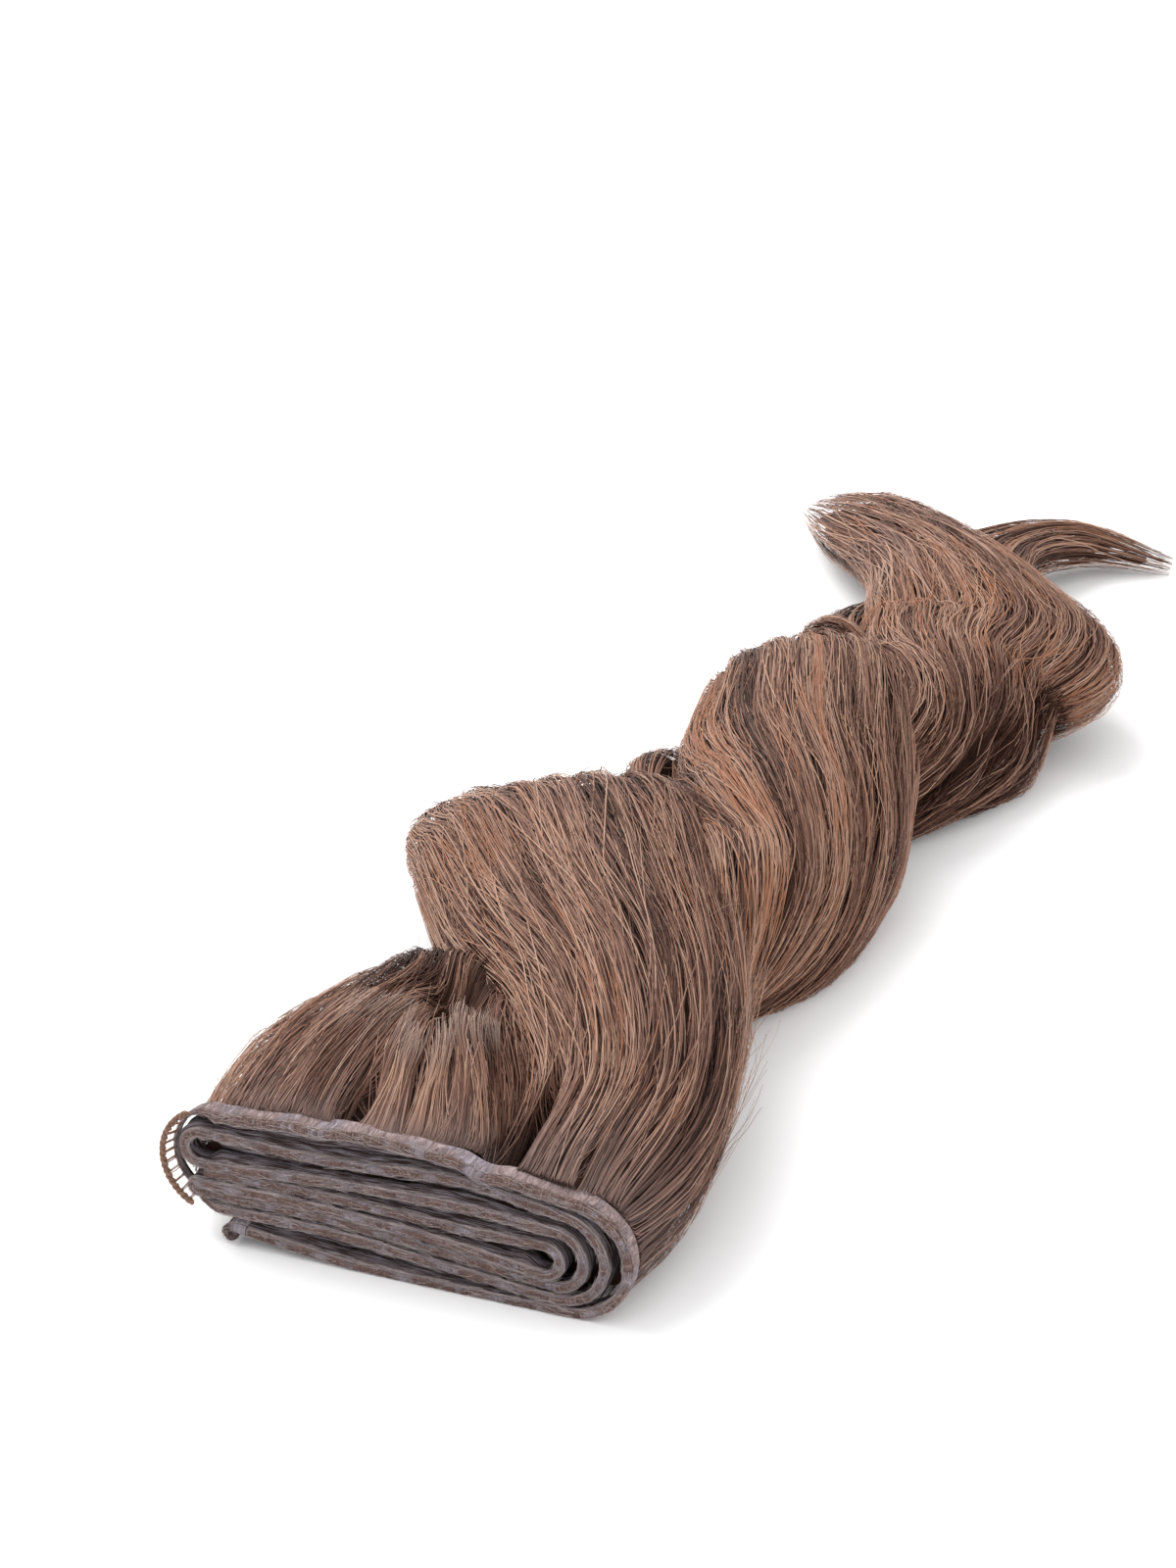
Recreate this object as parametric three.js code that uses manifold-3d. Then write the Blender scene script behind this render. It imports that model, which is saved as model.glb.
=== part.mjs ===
// A machine-sewn hair weft lying on a table: its band is folded into a flat roll of eight
// layers, and its hair falls away from the roll as a loose rope of two twisted swaths.
// Millimetres, +Z up. The hair runs along +Y and the band's sewn edge faces -Y.
import * as THREE from "three";
import { mergeVertices } from "three/addons/utils/BufferGeometryUtils.js";
import Module from "manifold-3d";

const wasm = await Module();
wasm.setup();

// Driving dimensions of the band
const bandWall = 1; // thickness of the sewn band
const bandDepth = 3.5; // width of the band, from its sewn edge back to the hair
const edgeRound = 0.3; // rounding of the sewn edge
const clearance = 0.3; // gap kept between neighbouring pieces
const layerSteps = 9; // stations along one layer
const recessRise = 1.4; // how fast the sewn edge draws back into a fold

// The stretched fold, where the sewing thread stands off the band
const ladderLayer = 7; // the layer that runs into the stretched fold
const ladderSpan = { first: 0.15, last: 0.83 }; // shares of that fold's half turn
const ladderFlare = 0.7; // how far the thread stands outside the fold
const threadDiameter = 0.9;
const threadPoints = 9;
const threadSteps = 24;
const rungWidth = 0.36; // one stitch across the stretched fold
const rungSides = 6;
const rungCount = 11;

// Driving dimensions of the hair
const hairStart = bandDepth + clearance;
const swathSteps = 48;
const slackSteps = 14;
const swathReach = 0.9; // share of its length where a swath parts into single tips
const edgeThinning = 0.88; // how much thinner a swath is at its two edges
const grooveDepth = 1.2; // between two locks of a swath
const lockDrift = 0.04; // sideways wander of a groove, as a share of half its swath
const driftTurns = 2.5; // wanders from root to tip
const shortestEdge = 0.05; // slivers below this are closed up where swaths are fused
const tipSides = 6;
const tipSteps = 5;
const tipOverlap = 0.04; // share of the length by which a tip starts inside its swath
const tipStart = 0.88; // share of its girth with which a lock leaves the swath
const tipGirth = 0.2; // what is left of a lock's girth at its very end
const tipFlatness = 0.9; // a tip's thickness to that of its swath

// Reads rows of numbers as records with named columns
function table(columns, rows) {
  return rows.map((row) => Object.fromEntries(columns.map((name, i) => [name, row[i]])));
}

// Heights of each layer of the folded band at four places from left to right,
// and how far its sewn edge stands back from the front of the roll
const heightPlaces = [-23, -8, 8, 22];
const layers = table(
  ["layer", "farLeft", "left", "right", "farRight", "recess"],
  [
    [1, 17.0, 18.1, 17.5, 15.2, 0.0],
    [2, 14.2, 13.9, 14.9, 13.0, 0.5],
    [3, 10.2, 11.2, 11.6, 10.8, 0.2],
    [4, 8.9, 8.9, 8.4, 8.6, 0.6],
    [5, 7.6, 7.4, 6.3, 4.6, 0.1],
    [6, 6.1, 5.9, 4.6, 3.2, 0.5],
    [7, 4.5, 4.4, 3.0, 1.85, 0.1],
    [8, 2.5, 0.9, 0.45, 0.4, 0.1],
  ],
);

// The way the strip runs through the roll: each row is one layer, the side that it runs
// towards, and how far out its fold reaches there
const foldRoute = table(
  ["layer", "from", "to", "foldReach", "foldRecess"],
  [
    [4, -25, 18.8, 20.7, 0.2],
    [5, 18.8, -25.7, -26.5, 0.3],
    [6, -25.7, 19.9, 23.6, 0.3],
    [3, 19.9, -25.4, -27.4, 0.2],
    [2, -25.4, 20.7, 26.3, 0.2],
    [7, 20.7, -23.3, -29.5, 2.3],
    [1, -23.3, 21.75, 29.2, 0.1],
    [8, 21.75, -21.5, null, null],
  ],
);

// The two swaths of the hair, root to tip. Roll turns a swath about its own length
// (degrees, + leans its upper face to the left) and arch drops its two edges.
const swathColumns = ["x", "y", "z", "width", "thick", "roll", "arch"];
const overSwath = table(swathColumns, [
  [20.5, 0, 9, 20, 17, 0, 0],
  [19.5, 22, 12, 23, 18, -8, 1],
  [12, 42, 17, 31, 16, -6, 4],
  [0.5, 62, 18.8, 38, 15, 1, 5],
  [-11.5, 83, 18, 41, 14, 2, 3],
  [-18.5, 93.5, 12, 36, 12, 2, 2],
  [-14, 103, 6.5, 24, 11, 60, 1],
  [-1, 116, 7, 22, 12, 180, 1],
  [11.5, 126, 7.5, 20, 13, 240, 2],
  [18.5, 137, 9.5, 20, 13, 272, 2],
  [20, 149, 11.5, 29, 12, 312, 2],
  [18, 159, 14, 29, 11.5, 338, 2],
  [18.5, 168.5, 15.2, 37, 10.5, 354, 3],
  [11.5, 179, 16, 30, 11.5, 355, 4],
  [3, 192, 14.5, 21, 10, 360, 3],
  [-7, 206, 11, 17, 9, 366, 2],
  [-18, 219, 7.5, 15, 7, 368, 1],
  [-29.5, 231, 3.2, 6, 2.5, 368, 0],
]);
const underSwath = table(swathColumns, [
  [-7, 0, 9, 38, 17, 0, 0],
  [-10, 22, 12.5, 39, 19, 6, 2],
  [-8, 40, 12.5, 32, 17, 25, 3],
  [2, 57, 8, 26, 14, 140, 2],
  [10.5, 71, 7.5, 26, 14, 225, 2],
  [15.5, 87, 10, 28, 16, 285, 3],
  [13.5, 103, 14.5, 32, 15, 325, 4],
  [7.5, 119, 17.5, 32, 14, 350, 5],
  [1.5, 138.5, 17.5, 28, 14, 364, 3],
  [-4, 149.5, 11, 25, 12, 376, 2],
  [-1, 160, 7, 21, 12, 480, 1],
  [3, 180, 7, 19, 12, 545, 1],
  [4, 200, 6.5, 17, 10, 545, 1],
  [5, 217, 6, 12, 7, 545, 1],
  [13, 230, 4.5, 7, 5, 545, 0],
  [27, 234.3, 1.2, 2, 1.2, 545, 0],
]);

// Slack hair that runs straight through the middle of the twist
const slackSwath = table(swathColumns, [
  [0, 36, 9, 26, 14, 0, 0],
  [0, 66, 11, 28, 17, 0, 1],
  [0, 90, 11, 26, 17, 0, 1],
  [3, 116, 10, 22, 15, 0, 1],
  [6, 142, 10, 22, 15, 0, 1],
  [8, 166, 9, 18, 13, 0, 1],
  [6, 190, 6.5, 14, 8, 0, 0],
]);

// The locks of a swath from left to right: where each one's right edge lies (-1 to 1),
// how far its ridge stands up, the share of the length where its tip ends, and the phase
// of its wander (turns)
const locks = table(
  ["rightEdge", "ridge", "reach", "phase"],
  [
    [-0.74, 0.9, 0.96, 0.1],
    [-0.42, 1.0, 0.99, 0.25],
    [-0.16, 0.95, 0.97, 0.2],
    [0.18, 1.04, 1.0, 0.45],
    [0.42, 0.94, 0.975, 0.55],
    [0.76, 1.0, 0.985, 0.5],
    [1, 0.9, 0.955, 0.7],
  ],
);

// Closed skin through rings of equal count, each counterclockwise seen from its far side
function loft(rings) {
  const sides = rings[0].length;
  const last = rings.length - 1;
  const index = [];
  for (let i = 0; i < last; i++) {
    for (let k = 0; k < sides; k++) {
      const near = i * sides + k;
      const next = i * sides + ((k + 1) % sides);
      index.push(near, next, next + sides, near, next + sides, near + sides);
    }
  }
  for (let k = 1; k < sides - 1; k++) {
    index.push(0, k + 1, k);
    index.push(last * sides, last * sides + k, last * sides + k + 1);
  }
  const geometry = new THREE.BufferGeometry();
  geometry.setFromPoints(rings.flat());
  geometry.setIndex(index);
  return geometry;
}

function toSolid(geometry) {
  const bare = geometry.clone();
  bare.deleteAttribute("normal");
  bare.deleteAttribute("uv");
  const merged = mergeVertices(bare, 1e-5);
  const vertProperties = new Float32Array(merged.attributes.position.array);
  const triVerts = new Uint32Array(merged.index.array);
  return new wasm.Manifold(new wasm.Mesh({ numProp: 3, vertProperties, triVerts }));
}

function toGeometry(solid) {
  const mesh = solid.getMesh();
  const geometry = new THREE.BufferGeometry();
  geometry.setAttribute("position", new THREE.BufferAttribute(mesh.vertProperties, 3));
  geometry.setIndex(new THREE.BufferAttribute(mesh.triVerts, 1));
  geometry.computeVertexNormals();
  return geometry;
}

// Smooth value through equally spaced values, t counted in rows
function smoothAt(values, t) {
  const top = values.length - 1;
  const i = Math.min(Math.max(Math.floor(t), 0), top - 1);
  const f = Math.min(Math.max(t - i, 0), 1);
  const before = values[Math.max(i - 1, 0)];
  const after = values[Math.min(i + 2, top)];
  const slopeIn = (values[i + 1] - before) / 2;
  const slopeOut = (after - values[i]) / 2;
  const rise = values[i + 1] - values[i];
  const bend = f * f * (3 - 2 * f);
  return values[i] + rise * bend + f * (1 - f) * ((1 - f) * slopeIn - f * slopeOut);
}

// Height of a layer of the roll at x, no lower than lying on the table
function layerHeight(row, x) {
  const heights = [row.farLeft, row.left, row.right, row.farRight];
  const end = heightPlaces.length - 1;
  let i = 0;
  while (i < end - 1 && x > heightPlaces[i + 1]) i++;
  const share = (x - heightPlaces[i]) / (heightPlaces[i + 1] - heightPlaces[i]);
  const height = smoothAt(heights, i + THREE.MathUtils.clamp(share, 0, 1));
  return Math.max(height, bandWall / 2);
}

const layerRow = (number) => layers.find((row) => row.layer === number);

// Half turn of the strip from one layer to the next: the station at an angle from 0 to pi,
// or a point standing off it
function foldAt(leg, next, angle, standOff = 0) {
  const start = layerRow(leg.layer);
  const end = layerRow(next.layer);
  const startHeight = layerHeight(start, leg.to);
  const endHeight = layerHeight(end, next.from);
  const turn = Math.sin(angle);
  const radius = (endHeight - startHeight) / 2;
  const reach = leg.foldReach - leg.to;
  const edge = THREE.MathUtils.lerp(start.recess, end.recess, angle / Math.PI);
  return {
    x: leg.to + (reach + Math.sign(reach) * standOff) * turn,
    z: (startHeight + endHeight) / 2 - (radius + Math.sign(radius) * standOff) * Math.cos(angle),
    recess: THREE.MathUtils.lerp(edge, leg.foldRecess, Math.min(1, recessRise * turn)),
  };
}

function foldStations(leg, next) {
  const drop = layerHeight(layerRow(leg.layer), leg.to) - layerHeight(layerRow(next.layer), next.from);
  const steps = Math.max(6, Math.round(Math.abs(drop)) + 2);
  const stations = [];
  for (let i = 1; i < steps; i++) stations.push(foldAt(leg, next, (Math.PI * i) / steps));
  return stations;
}

// Middle line of the whole strip, with the place of its sewn edge
function bandStations() {
  const stations = [];
  foldRoute.forEach((leg, order) => {
    const row = layerRow(leg.layer);
    for (let i = 0; i <= layerSteps; i++) {
      const x = THREE.MathUtils.lerp(leg.from, leg.to, i / layerSteps);
      stations.push({ x, z: layerHeight(row, x), recess: row.recess });
    }
    const next = foldRoute[order + 1];
    if (next) stations.push(...foldStations(leg, next));
  });
  return stations;
}

// Direction of the strip at one station, in the plane of the roll
function stripDirection(stations, i) {
  const before = stations[Math.max(i - 1, 0)];
  const after = stations[Math.min(i + 1, stations.length - 1)];
  return new THREE.Vector2(after.x - before.x, after.z - before.z).normalize();
}

// The folded band: one strip with a rounded sewn edge
function weftBand() {
  const stations = bandStations();
  const half = bandWall / 2;
  const rings = stations.map((station, i) => {
    const along = stripDirection(stations, i);
    const section = [
      [half, station.recess + edgeRound],
      [half - edgeRound, station.recess],
      [edgeRound - half, station.recess],
      [-half, station.recess + edgeRound],
      [-half, bandDepth],
      [half, bandDepth],
    ];
    return section.map(
      ([off, y]) => new THREE.Vector3(station.x - along.y * off, y, station.z + along.x * off),
    );
  });
  return loft(rings);
}

// The thread that edges the outer left fold, pulled off the band and open like a ladder
function stitchLadder() {
  const order = foldRoute.findIndex((row) => row.layer === ladderLayer);
  const onFold = (angle, standOff) => foldAt(foldRoute[order], foldRoute[order + 1], angle, standOff);
  const ladderAngle = (share) => Math.PI * THREE.MathUtils.lerp(ladderSpan.first, ladderSpan.last, share);
  const threadAt = (angle) => {
    const { x, z } = onFold(angle, ladderFlare);
    return new THREE.Vector3(x, threadDiameter / 2, z);
  };
  const rungEnd = (angle) => {
    const { x, z, recess } = onFold(angle);
    return new THREE.Vector3(x, recess - clearance, z);
  };
  const path = [];
  for (let i = 0; i < threadPoints; i++) path.push(threadAt(ladderAngle(i / (threadPoints - 1))));
  const round = new THREE.Shape();
  round.absarc(0, 0, threadDiameter / 2, 0, 2 * Math.PI);
  const thread = new THREE.ExtrudeGeometry(round, {
    curveSegments: 4,
    steps: threadSteps,
    extrudePath: new THREE.CatmullRomCurve3(path),
    bevelEnabled: false,
  });
  let ladder = toSolid(thread);
  for (let i = 0; i < rungCount; i++) {
    const angle = ladderAngle((i + 0.5) / rungCount);
    const start = threadAt(angle);
    const across = rungEnd(angle).sub(start);
    const rung = new THREE.CylinderGeometry(rungWidth / 2, rungWidth / 2, across.length(), rungSides);
    rung.translate(0, across.length() / 2, 0);
    const up = new THREE.Vector3(0, 1, 0);
    rung.applyQuaternion(new THREE.Quaternion().setFromUnitVectors(up, across.clone().normalize()));
    rung.translate(start.x, start.y, start.z);
    ladder = ladder.add(toSolid(rung));
  }
  return toGeometry(ladder);
}

function swathRow(rows, t) {
  const names = Object.keys(rows[0]);
  return Object.fromEntries(names.map((name) => [name, smoothAt(rows.map((row) => row[name]), t)]));
}

// A point in a swath: t along it in rows, u across it, v through it
function swathPoint(rows, t, u, v) {
  const here = swathRow(rows, t);
  const nudge = 0.02;
  const ahead = swathRow(rows, Math.min(t + nudge, rows.length - 1));
  const behind = swathRow(rows, Math.max(t - nudge, 0));
  const along = new THREE.Vector3(ahead.x - behind.x, ahead.y - behind.y, ahead.z - behind.z).normalize();
  const up = new THREE.Vector3(0, 0, 1).addScaledVector(along, -along.z).normalize();
  const right = new THREE.Vector3().crossVectors(along, up);
  const roll = THREE.MathUtils.degToRad(here.roll);
  const face = up.multiplyScalar(Math.cos(roll)).addScaledVector(right, -Math.sin(roll));
  const side = new THREE.Vector3().crossVectors(along, face);
  return new THREE.Vector3(here.x, here.y, here.z)
    .addScaledVector(side, (here.width / 2) * u)
    .addScaledVector(face, (here.thick / 2) * v - here.arch * u * u);
}

// Where the grooves and ridges lie across a swath, at a share of its length
function lockPlaces(share) {
  let leftEdge = -1;
  return locks.map((lock, i) => {
    const isLast = i === locks.length - 1;
    const wander = isLast ? 0 : lockDrift * Math.sin(2 * Math.PI * (driftTurns * share + lock.phase));
    const rightEdge = lock.rightEdge + wander;
    const place = { lock, middle: (leftEdge + rightEdge) / 2, half: (rightEdge - leftEdge) / 2, rightEdge };
    leftEdge = rightEdge;
    return place;
  });
}

// Share of a swath's half thickness that is left at u across it
const crown = (u) => Math.sqrt(1 - edgeThinning * u * u);

// Ring of a swath: each lock is a ridge on its upper and its lower face
function swathRing(rows, t, share) {
  const groove = (2 * grooveDepth) / swathRow(rows, t).thick;
  const upper = [];
  lockPlaces(share).forEach((place, i) => {
    upper.push([place.middle, crown(place.middle) * place.lock.ridge]);
    if (i < locks.length - 1) upper.push([place.rightEdge, crown(place.rightEdge) - groove]);
  });
  const lower = upper.map(([u, v]) => [u, -v]).reverse();
  return [[-1, 0], ...upper, [1, 0], ...lower].map(([u, v]) => swathPoint(rows, t, u, v));
}

// The body of a swath, from inside the root to where its tips part
function swathSolid(rows, steps) {
  const rings = [];
  for (let i = 0; i <= steps; i++) {
    const share = (swathReach * i) / steps;
    rings.push(swathRing(rows, share * (rows.length - 1), share));
  }
  return toSolid(loft(rings));
}

// The free end of one lock, thinning from inside the swath to its tip
function tipSolid(rows, order) {
  const first = swathReach - tipOverlap;
  const rings = [];
  for (let i = 0; i <= tipSteps; i++) {
    const share = THREE.MathUtils.lerp(first, locks[order].reach, i / tipSteps);
    const place = lockPlaces(swathReach)[order];
    const girth = THREE.MathUtils.lerp(tipStart, tipGirth, (i / tipSteps) ** 2);
    const ring = [];
    for (let k = 0; k < tipSides; k++) {
      const angle = Math.PI / 2 - (2 * Math.PI * k) / tipSides;
      const u = place.middle + place.half * girth * Math.cos(angle);
      const v = tipFlatness * girth * crown(u) * Math.sin(angle);
      ring.push(swathPoint(rows, share * (rows.length - 1), u, v));
    }
    rings.push(ring);
  }
  return toSolid(loft(rings));
}

// Leaves out the small closed pockets between the swaths
function largestBody(solid) {
  return solid.decompose().reduce((best, body) => (body.volume() > best.volume() ? body : best));
}

// All swaths fused, cut flat on the table and square behind the band
function hairFall() {
  const solids = [overSwath, underSwath].flatMap((rows) => [
    swathSolid(rows, swathSteps),
    ...locks.map((lock, order) => tipSolid(rows, order)),
  ]);
  solids.push(swathSolid(slackSwath, slackSteps));
  const hair = solids.reduce((joined, solid) => joined.add(solid));
  const room = 400;
  const belowTable = new THREE.BoxGeometry(room, 2 * room, room).translate(0, 0, -room / 2);
  const beforeRoot = new THREE.BoxGeometry(room, room, room).translate(0, hairStart - room / 2, 0);
  const trimmed = hair.subtract(toSolid(belowTable)).subtract(toSolid(beforeRoot));
  return toGeometry(largestBody(trimmed.asOriginal().simplify(shortestEdge)));
}

const feltGrey = 0x8a7a74;
const threadBrown = 0x4a3327;
const hairBrown = 0x6e4f3d;

function piece(name, geometry, color, roughness) {
  const mesh = new THREE.Mesh(geometry, new THREE.MeshStandardMaterial({ color, roughness, metalness: 0 }));
  mesh.name = name;
  return mesh;
}

const weft = new THREE.Group();
weft.add(piece("weft_band", weftBand(), feltGrey, 0.85));
weft.add(piece("stitch_ladder", stitchLadder(), threadBrown, 0.7));
weft.add(piece("hair_fall", hairFall(), hairBrown, 0.5));

// The origin is the middle of the object's footprint on the table
const box = new THREE.Box3().setFromObject(weft);
const footprint = box.getCenter(new THREE.Vector3());
weft.position.set(-footprint.x, -footprint.y, -box.min.z);
weft.updateMatrixWorld(true);

export default weft;
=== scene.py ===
import math

import bpy
import numpy as np
from mathutils import Matrix, Vector


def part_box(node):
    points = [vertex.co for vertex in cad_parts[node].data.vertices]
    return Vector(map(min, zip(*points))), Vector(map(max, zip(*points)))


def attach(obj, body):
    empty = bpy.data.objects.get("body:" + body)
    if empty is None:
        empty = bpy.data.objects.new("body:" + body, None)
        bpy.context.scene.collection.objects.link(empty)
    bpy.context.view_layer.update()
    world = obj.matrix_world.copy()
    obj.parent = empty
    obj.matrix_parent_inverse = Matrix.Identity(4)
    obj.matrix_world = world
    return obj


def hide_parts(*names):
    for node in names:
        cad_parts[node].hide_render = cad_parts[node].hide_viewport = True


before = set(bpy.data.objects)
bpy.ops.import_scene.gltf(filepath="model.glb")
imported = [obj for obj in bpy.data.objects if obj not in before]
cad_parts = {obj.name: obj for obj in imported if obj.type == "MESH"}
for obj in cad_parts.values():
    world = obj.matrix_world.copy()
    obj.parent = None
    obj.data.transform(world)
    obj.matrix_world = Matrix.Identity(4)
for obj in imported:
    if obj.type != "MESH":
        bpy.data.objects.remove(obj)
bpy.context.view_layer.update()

# The tables and sizes below are in millimetres from the middle of the folded roll's front edge:
# x across the roll, y along the hair, z up from the surface that the weft lies on.
millimetre = 0.001
rollRight = 29.67
bandLow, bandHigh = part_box("weft_band")
rollMiddle = np.array((bandHigh.x - rollRight * millimetre, bandLow.y, 0.0))


def toMetres(points):
    return rollMiddle + np.asarray(points, float) * millimetre


def unit(vectors):
    return vectors / np.maximum(np.linalg.norm(vectors, axis=-1, keepdims=True), 1e-9)


def ease(start, end, values):
    share = np.clip((values - start) / (end - start), 0, 1)
    return share * share * (3 - 2 * share)


# Distance travelled along a path, at each of its points
def travel(path):
    return np.concatenate([[0], np.cumsum(np.linalg.norm(np.diff(path, axis=0), axis=1))])


# A smooth curve through the rows of a table, at row number t
def smoothRows(rows, t):
    table = np.asarray(rows, float)
    last = len(table) - 1
    t = np.clip(np.asarray(t, float), 0, last)
    step = np.minimum(t.astype(int), last - 1)
    share = (t - step).reshape(t.shape + (1,) * (table.ndim - 1))
    before = table[np.maximum(step - 1, 0)]
    start = table[step]
    end = table[step + 1]
    after = table[np.minimum(step + 2, last)]
    bend = share * share * (3 - 2 * share)
    slopes = (1 - share) * (end - before) / 2 - share * (after - start) / 2
    return start + (end - start) * bend + share * (1 - share) * slopes


# As many random smooth curves as count says, around zero and seldom past one
def waver(rng, count, t, turns):
    total = 0
    for part in range(3):
        rate = turns * (0.5 + part) * rng.uniform(0.7, 1.3, (count, 1))
        phase = rng.uniform(0, 2 * math.pi, (count, 1))
        total = total + np.sin(2 * math.pi * rate * t + phase) / (1 + part)
    return total / 1.5


def makeMesh(name, points, quads, tris, uv, material, slot):
    corners = np.concatenate([quads.reshape(-1), tris.reshape(-1)]).astype(np.int32)
    sizes = np.concatenate([np.full(len(quads), 4), np.full(len(tris), 3)])
    starts = np.concatenate([[0], np.cumsum(sizes)[:-1]]).astype(np.int32)
    mesh = bpy.data.meshes.new(name)
    mesh.vertices.add(len(points))
    mesh.vertices.foreach_set("co", toMetres(points).astype(np.float32).reshape(-1))
    mesh.loops.add(len(corners))
    mesh.loops.foreach_set("vertex_index", corners)
    mesh.polygons.add(len(sizes))
    mesh.polygons.foreach_set("loop_start", starts)
    mesh.polygons.foreach_set("use_smooth", np.ones(len(sizes), bool))
    layer = mesh.uv_layers.new(name="flow")
    layer.data.foreach_set("uv", uv[corners].astype(np.float32).reshape(-1))
    mesh.update(calc_edges=True)
    mesh.validate()
    mesh.materials.append(material)
    piece = bpy.data.objects.new(name, mesh)
    bpy.context.scene.collection.objects.link(piece)
    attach(piece, "root")
    print(name, len(quads) * 2 + len(tris), "triangles")
    return piece


# Closed tubes along many paths of the same number of points: points, quads, triangles and flow
def tubes(paths, radii, tones, sides=3):
    count, steps = paths.shape[:2]
    along = unit(np.gradient(paths, axis=1))
    across = unit(np.cross(along, np.array((0.05, 0.1, 1.0))))
    over = np.cross(along, across)
    turn = 2 * math.pi * np.arange(sides) / sides
    ring = across[:, :, None] * np.cos(turn)[:, None] + over[:, :, None] * np.sin(turn)[:, None]
    points = (paths[:, :, None] + ring * radii[:, :, None, None]).reshape(-1, 3)
    first = (np.arange(count)[:, None, None] * steps + np.arange(steps - 1)[:, None]) * sides
    here = first + np.arange(sides)
    beside = first + (np.arange(sides) + 1) % sides
    quads = np.stack([here, beside, beside + sides, here + sides], -1).reshape(-1, 4)
    fan = np.array([(0, i, i + 1) for i in range(1, sides - 1)])
    starts = np.arange(count)[:, None, None] * steps * sides
    ends = starts + (steps - 1) * sides
    tris = np.concatenate([(starts + fan[:, ::-1]).reshape(-1, 3), (ends + fan).reshape(-1, 3)])
    place = np.linspace(0, 1, steps)
    flow = np.stack(np.broadcast_arrays(tones[:, None, None], place[None, :, None], np.zeros(sides)), -1)
    return points, quads, tris, flow[..., :2].reshape(-1, 2)


ridgeRise = 0.8  # height of a hair's ridge for half its width


# Hairs that lie on others, along many paths: the outer two faces of a ridge each
def ridges(paths, outward, widths, tones, place):
    count, steps = paths.shape[:2]
    along = unit(np.gradient(paths, axis=1))
    across = unit(np.cross(along, outward))
    over = np.cross(across, along)
    half = widths[..., None] / 2
    edges = [paths - across * half, paths + over * half * ridgeRise, paths + across * half]
    points = np.stack(edges, 2).reshape(-1, 3)
    first = ((np.arange(count)[:, None] * steps + np.arange(steps - 1)) * 3).reshape(-1, 1)
    quads = np.concatenate([first + np.array((0, 1, 4, 3)), first + np.array((1, 2, 5, 4))])
    tones = np.broadcast_to(tones.reshape(count, -1), (count, steps))
    place = np.broadcast_to(place, (count, steps))
    flow = np.stack(np.broadcast_arrays(tones[..., None], place[..., None], np.zeros(3)), -1)
    return points, quads, np.zeros((0, 3), int), flow[..., :2].reshape(-1, 2)


# A closed skin over rings of points; the rings follow the piece and are capped at both ends
def skin(rings, flow):
    steps, sides = rings.shape[:2]
    here = np.arange(steps - 1)[:, None] * sides + np.arange(sides)
    beside = np.arange(steps - 1)[:, None] * sides + (np.arange(sides) + 1) % sides
    quads = np.stack([here, beside, beside + sides, here + sides], -1).reshape(-1, 4)
    points = np.concatenate([rings.reshape(-1, 3), [rings[0].mean(0), rings[-1].mean(0)]])
    flow = np.concatenate([flow.reshape(-1, 2), [flow[0].mean(0), flow[-1].mean(0)]])
    middle = steps * sides
    edge = np.arange(sides)
    after = (edge + 1) % sides
    startCap = np.stack([after, edge, np.full(sides, middle)], -1)
    endCap = np.stack([edge, after, np.full(sides, middle + 1)], -1)
    endCap[:, :2] += (steps - 1) * sides
    return points, quads, np.concatenate([startCap, endCap]), flow


def joined(pieces):
    points, quads, tris, flow = [], [], [], []
    base = 0
    for piece in pieces:
        points.append(piece[0])
        quads.append(piece[1] + base)
        tris.append(piece[2] + base)
        flow.append(piece[3])
        base += len(piece[0])
    return np.concatenate(points), np.concatenate(quads), np.concatenate(tris), np.concatenate(flow)


# Shader helpers

def addNode(tree, kind, sockets=None, **settings):
    node = tree.nodes.new(kind)
    for key, value in settings.items():
        setattr(node, key, value)
    for key, value in (sockets or {}).items():
        node.inputs[key].default_value = value
    return node


def addMix(tree, sockets=None, blend="MIX"):
    return addNode(tree, "ShaderNodeMix", sockets, data_type="RGBA", blend_type=blend)


def addRange(tree, sockets, kind="LINEAR"):
    return addNode(tree, "ShaderNodeMapRange", sockets, interpolation_type=kind)


def addRamp(tree, stops):
    node = addNode(tree, "ShaderNodeValToRGB")
    ramp = node.color_ramp
    while len(ramp.elements) < len(stops):
        ramp.elements.new(0.5)
    for element, (place, value) in zip(ramp.elements, stops):
        element.position = place
        element.color = value
    return node


# Each link: from a node, its output, to a node, its input
def wire(tree, *links):
    for source, output, target, socket in links:
        tree.links.new(source.outputs[output], target.inputs[socket])


def colour(red, green, blue):
    def linear(part):
        part /= 255
        return part / 12.92 if part <= 0.04045 else ((part + 0.055) / 1.055) ** 2.4

    return (linear(red), linear(green), linear(blue), 1.0)


def newGroup(name, inputs, outputs):
    tree = bpy.data.node_groups.new(name, "ShaderNodeTree")
    for label, kind, value in inputs:
        socket = tree.interface.new_socket(label, in_out="INPUT", socket_type=kind)
        if value is not None:
            socket.default_value = value
    for label, kind in outputs:
        tree.interface.new_socket(label, in_out="OUTPUT", socket_type=kind)
    return tree, tree.nodes.new("NodeGroupInput"), tree.nodes.new("NodeGroupOutput")


def useGroup(tree, group, sockets):
    return addNode(tree, "ShaderNodeGroup", sockets, node_tree=group)


def newMaterial(name, sockets):
    material = bpy.data.materials.new(name)
    material.use_nodes = True
    shader = material.node_tree.nodes["Principled BSDF"]
    for key, value in sockets.items():
        shader.inputs[key].default_value = value
    return material, material.node_tree, shader


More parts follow.
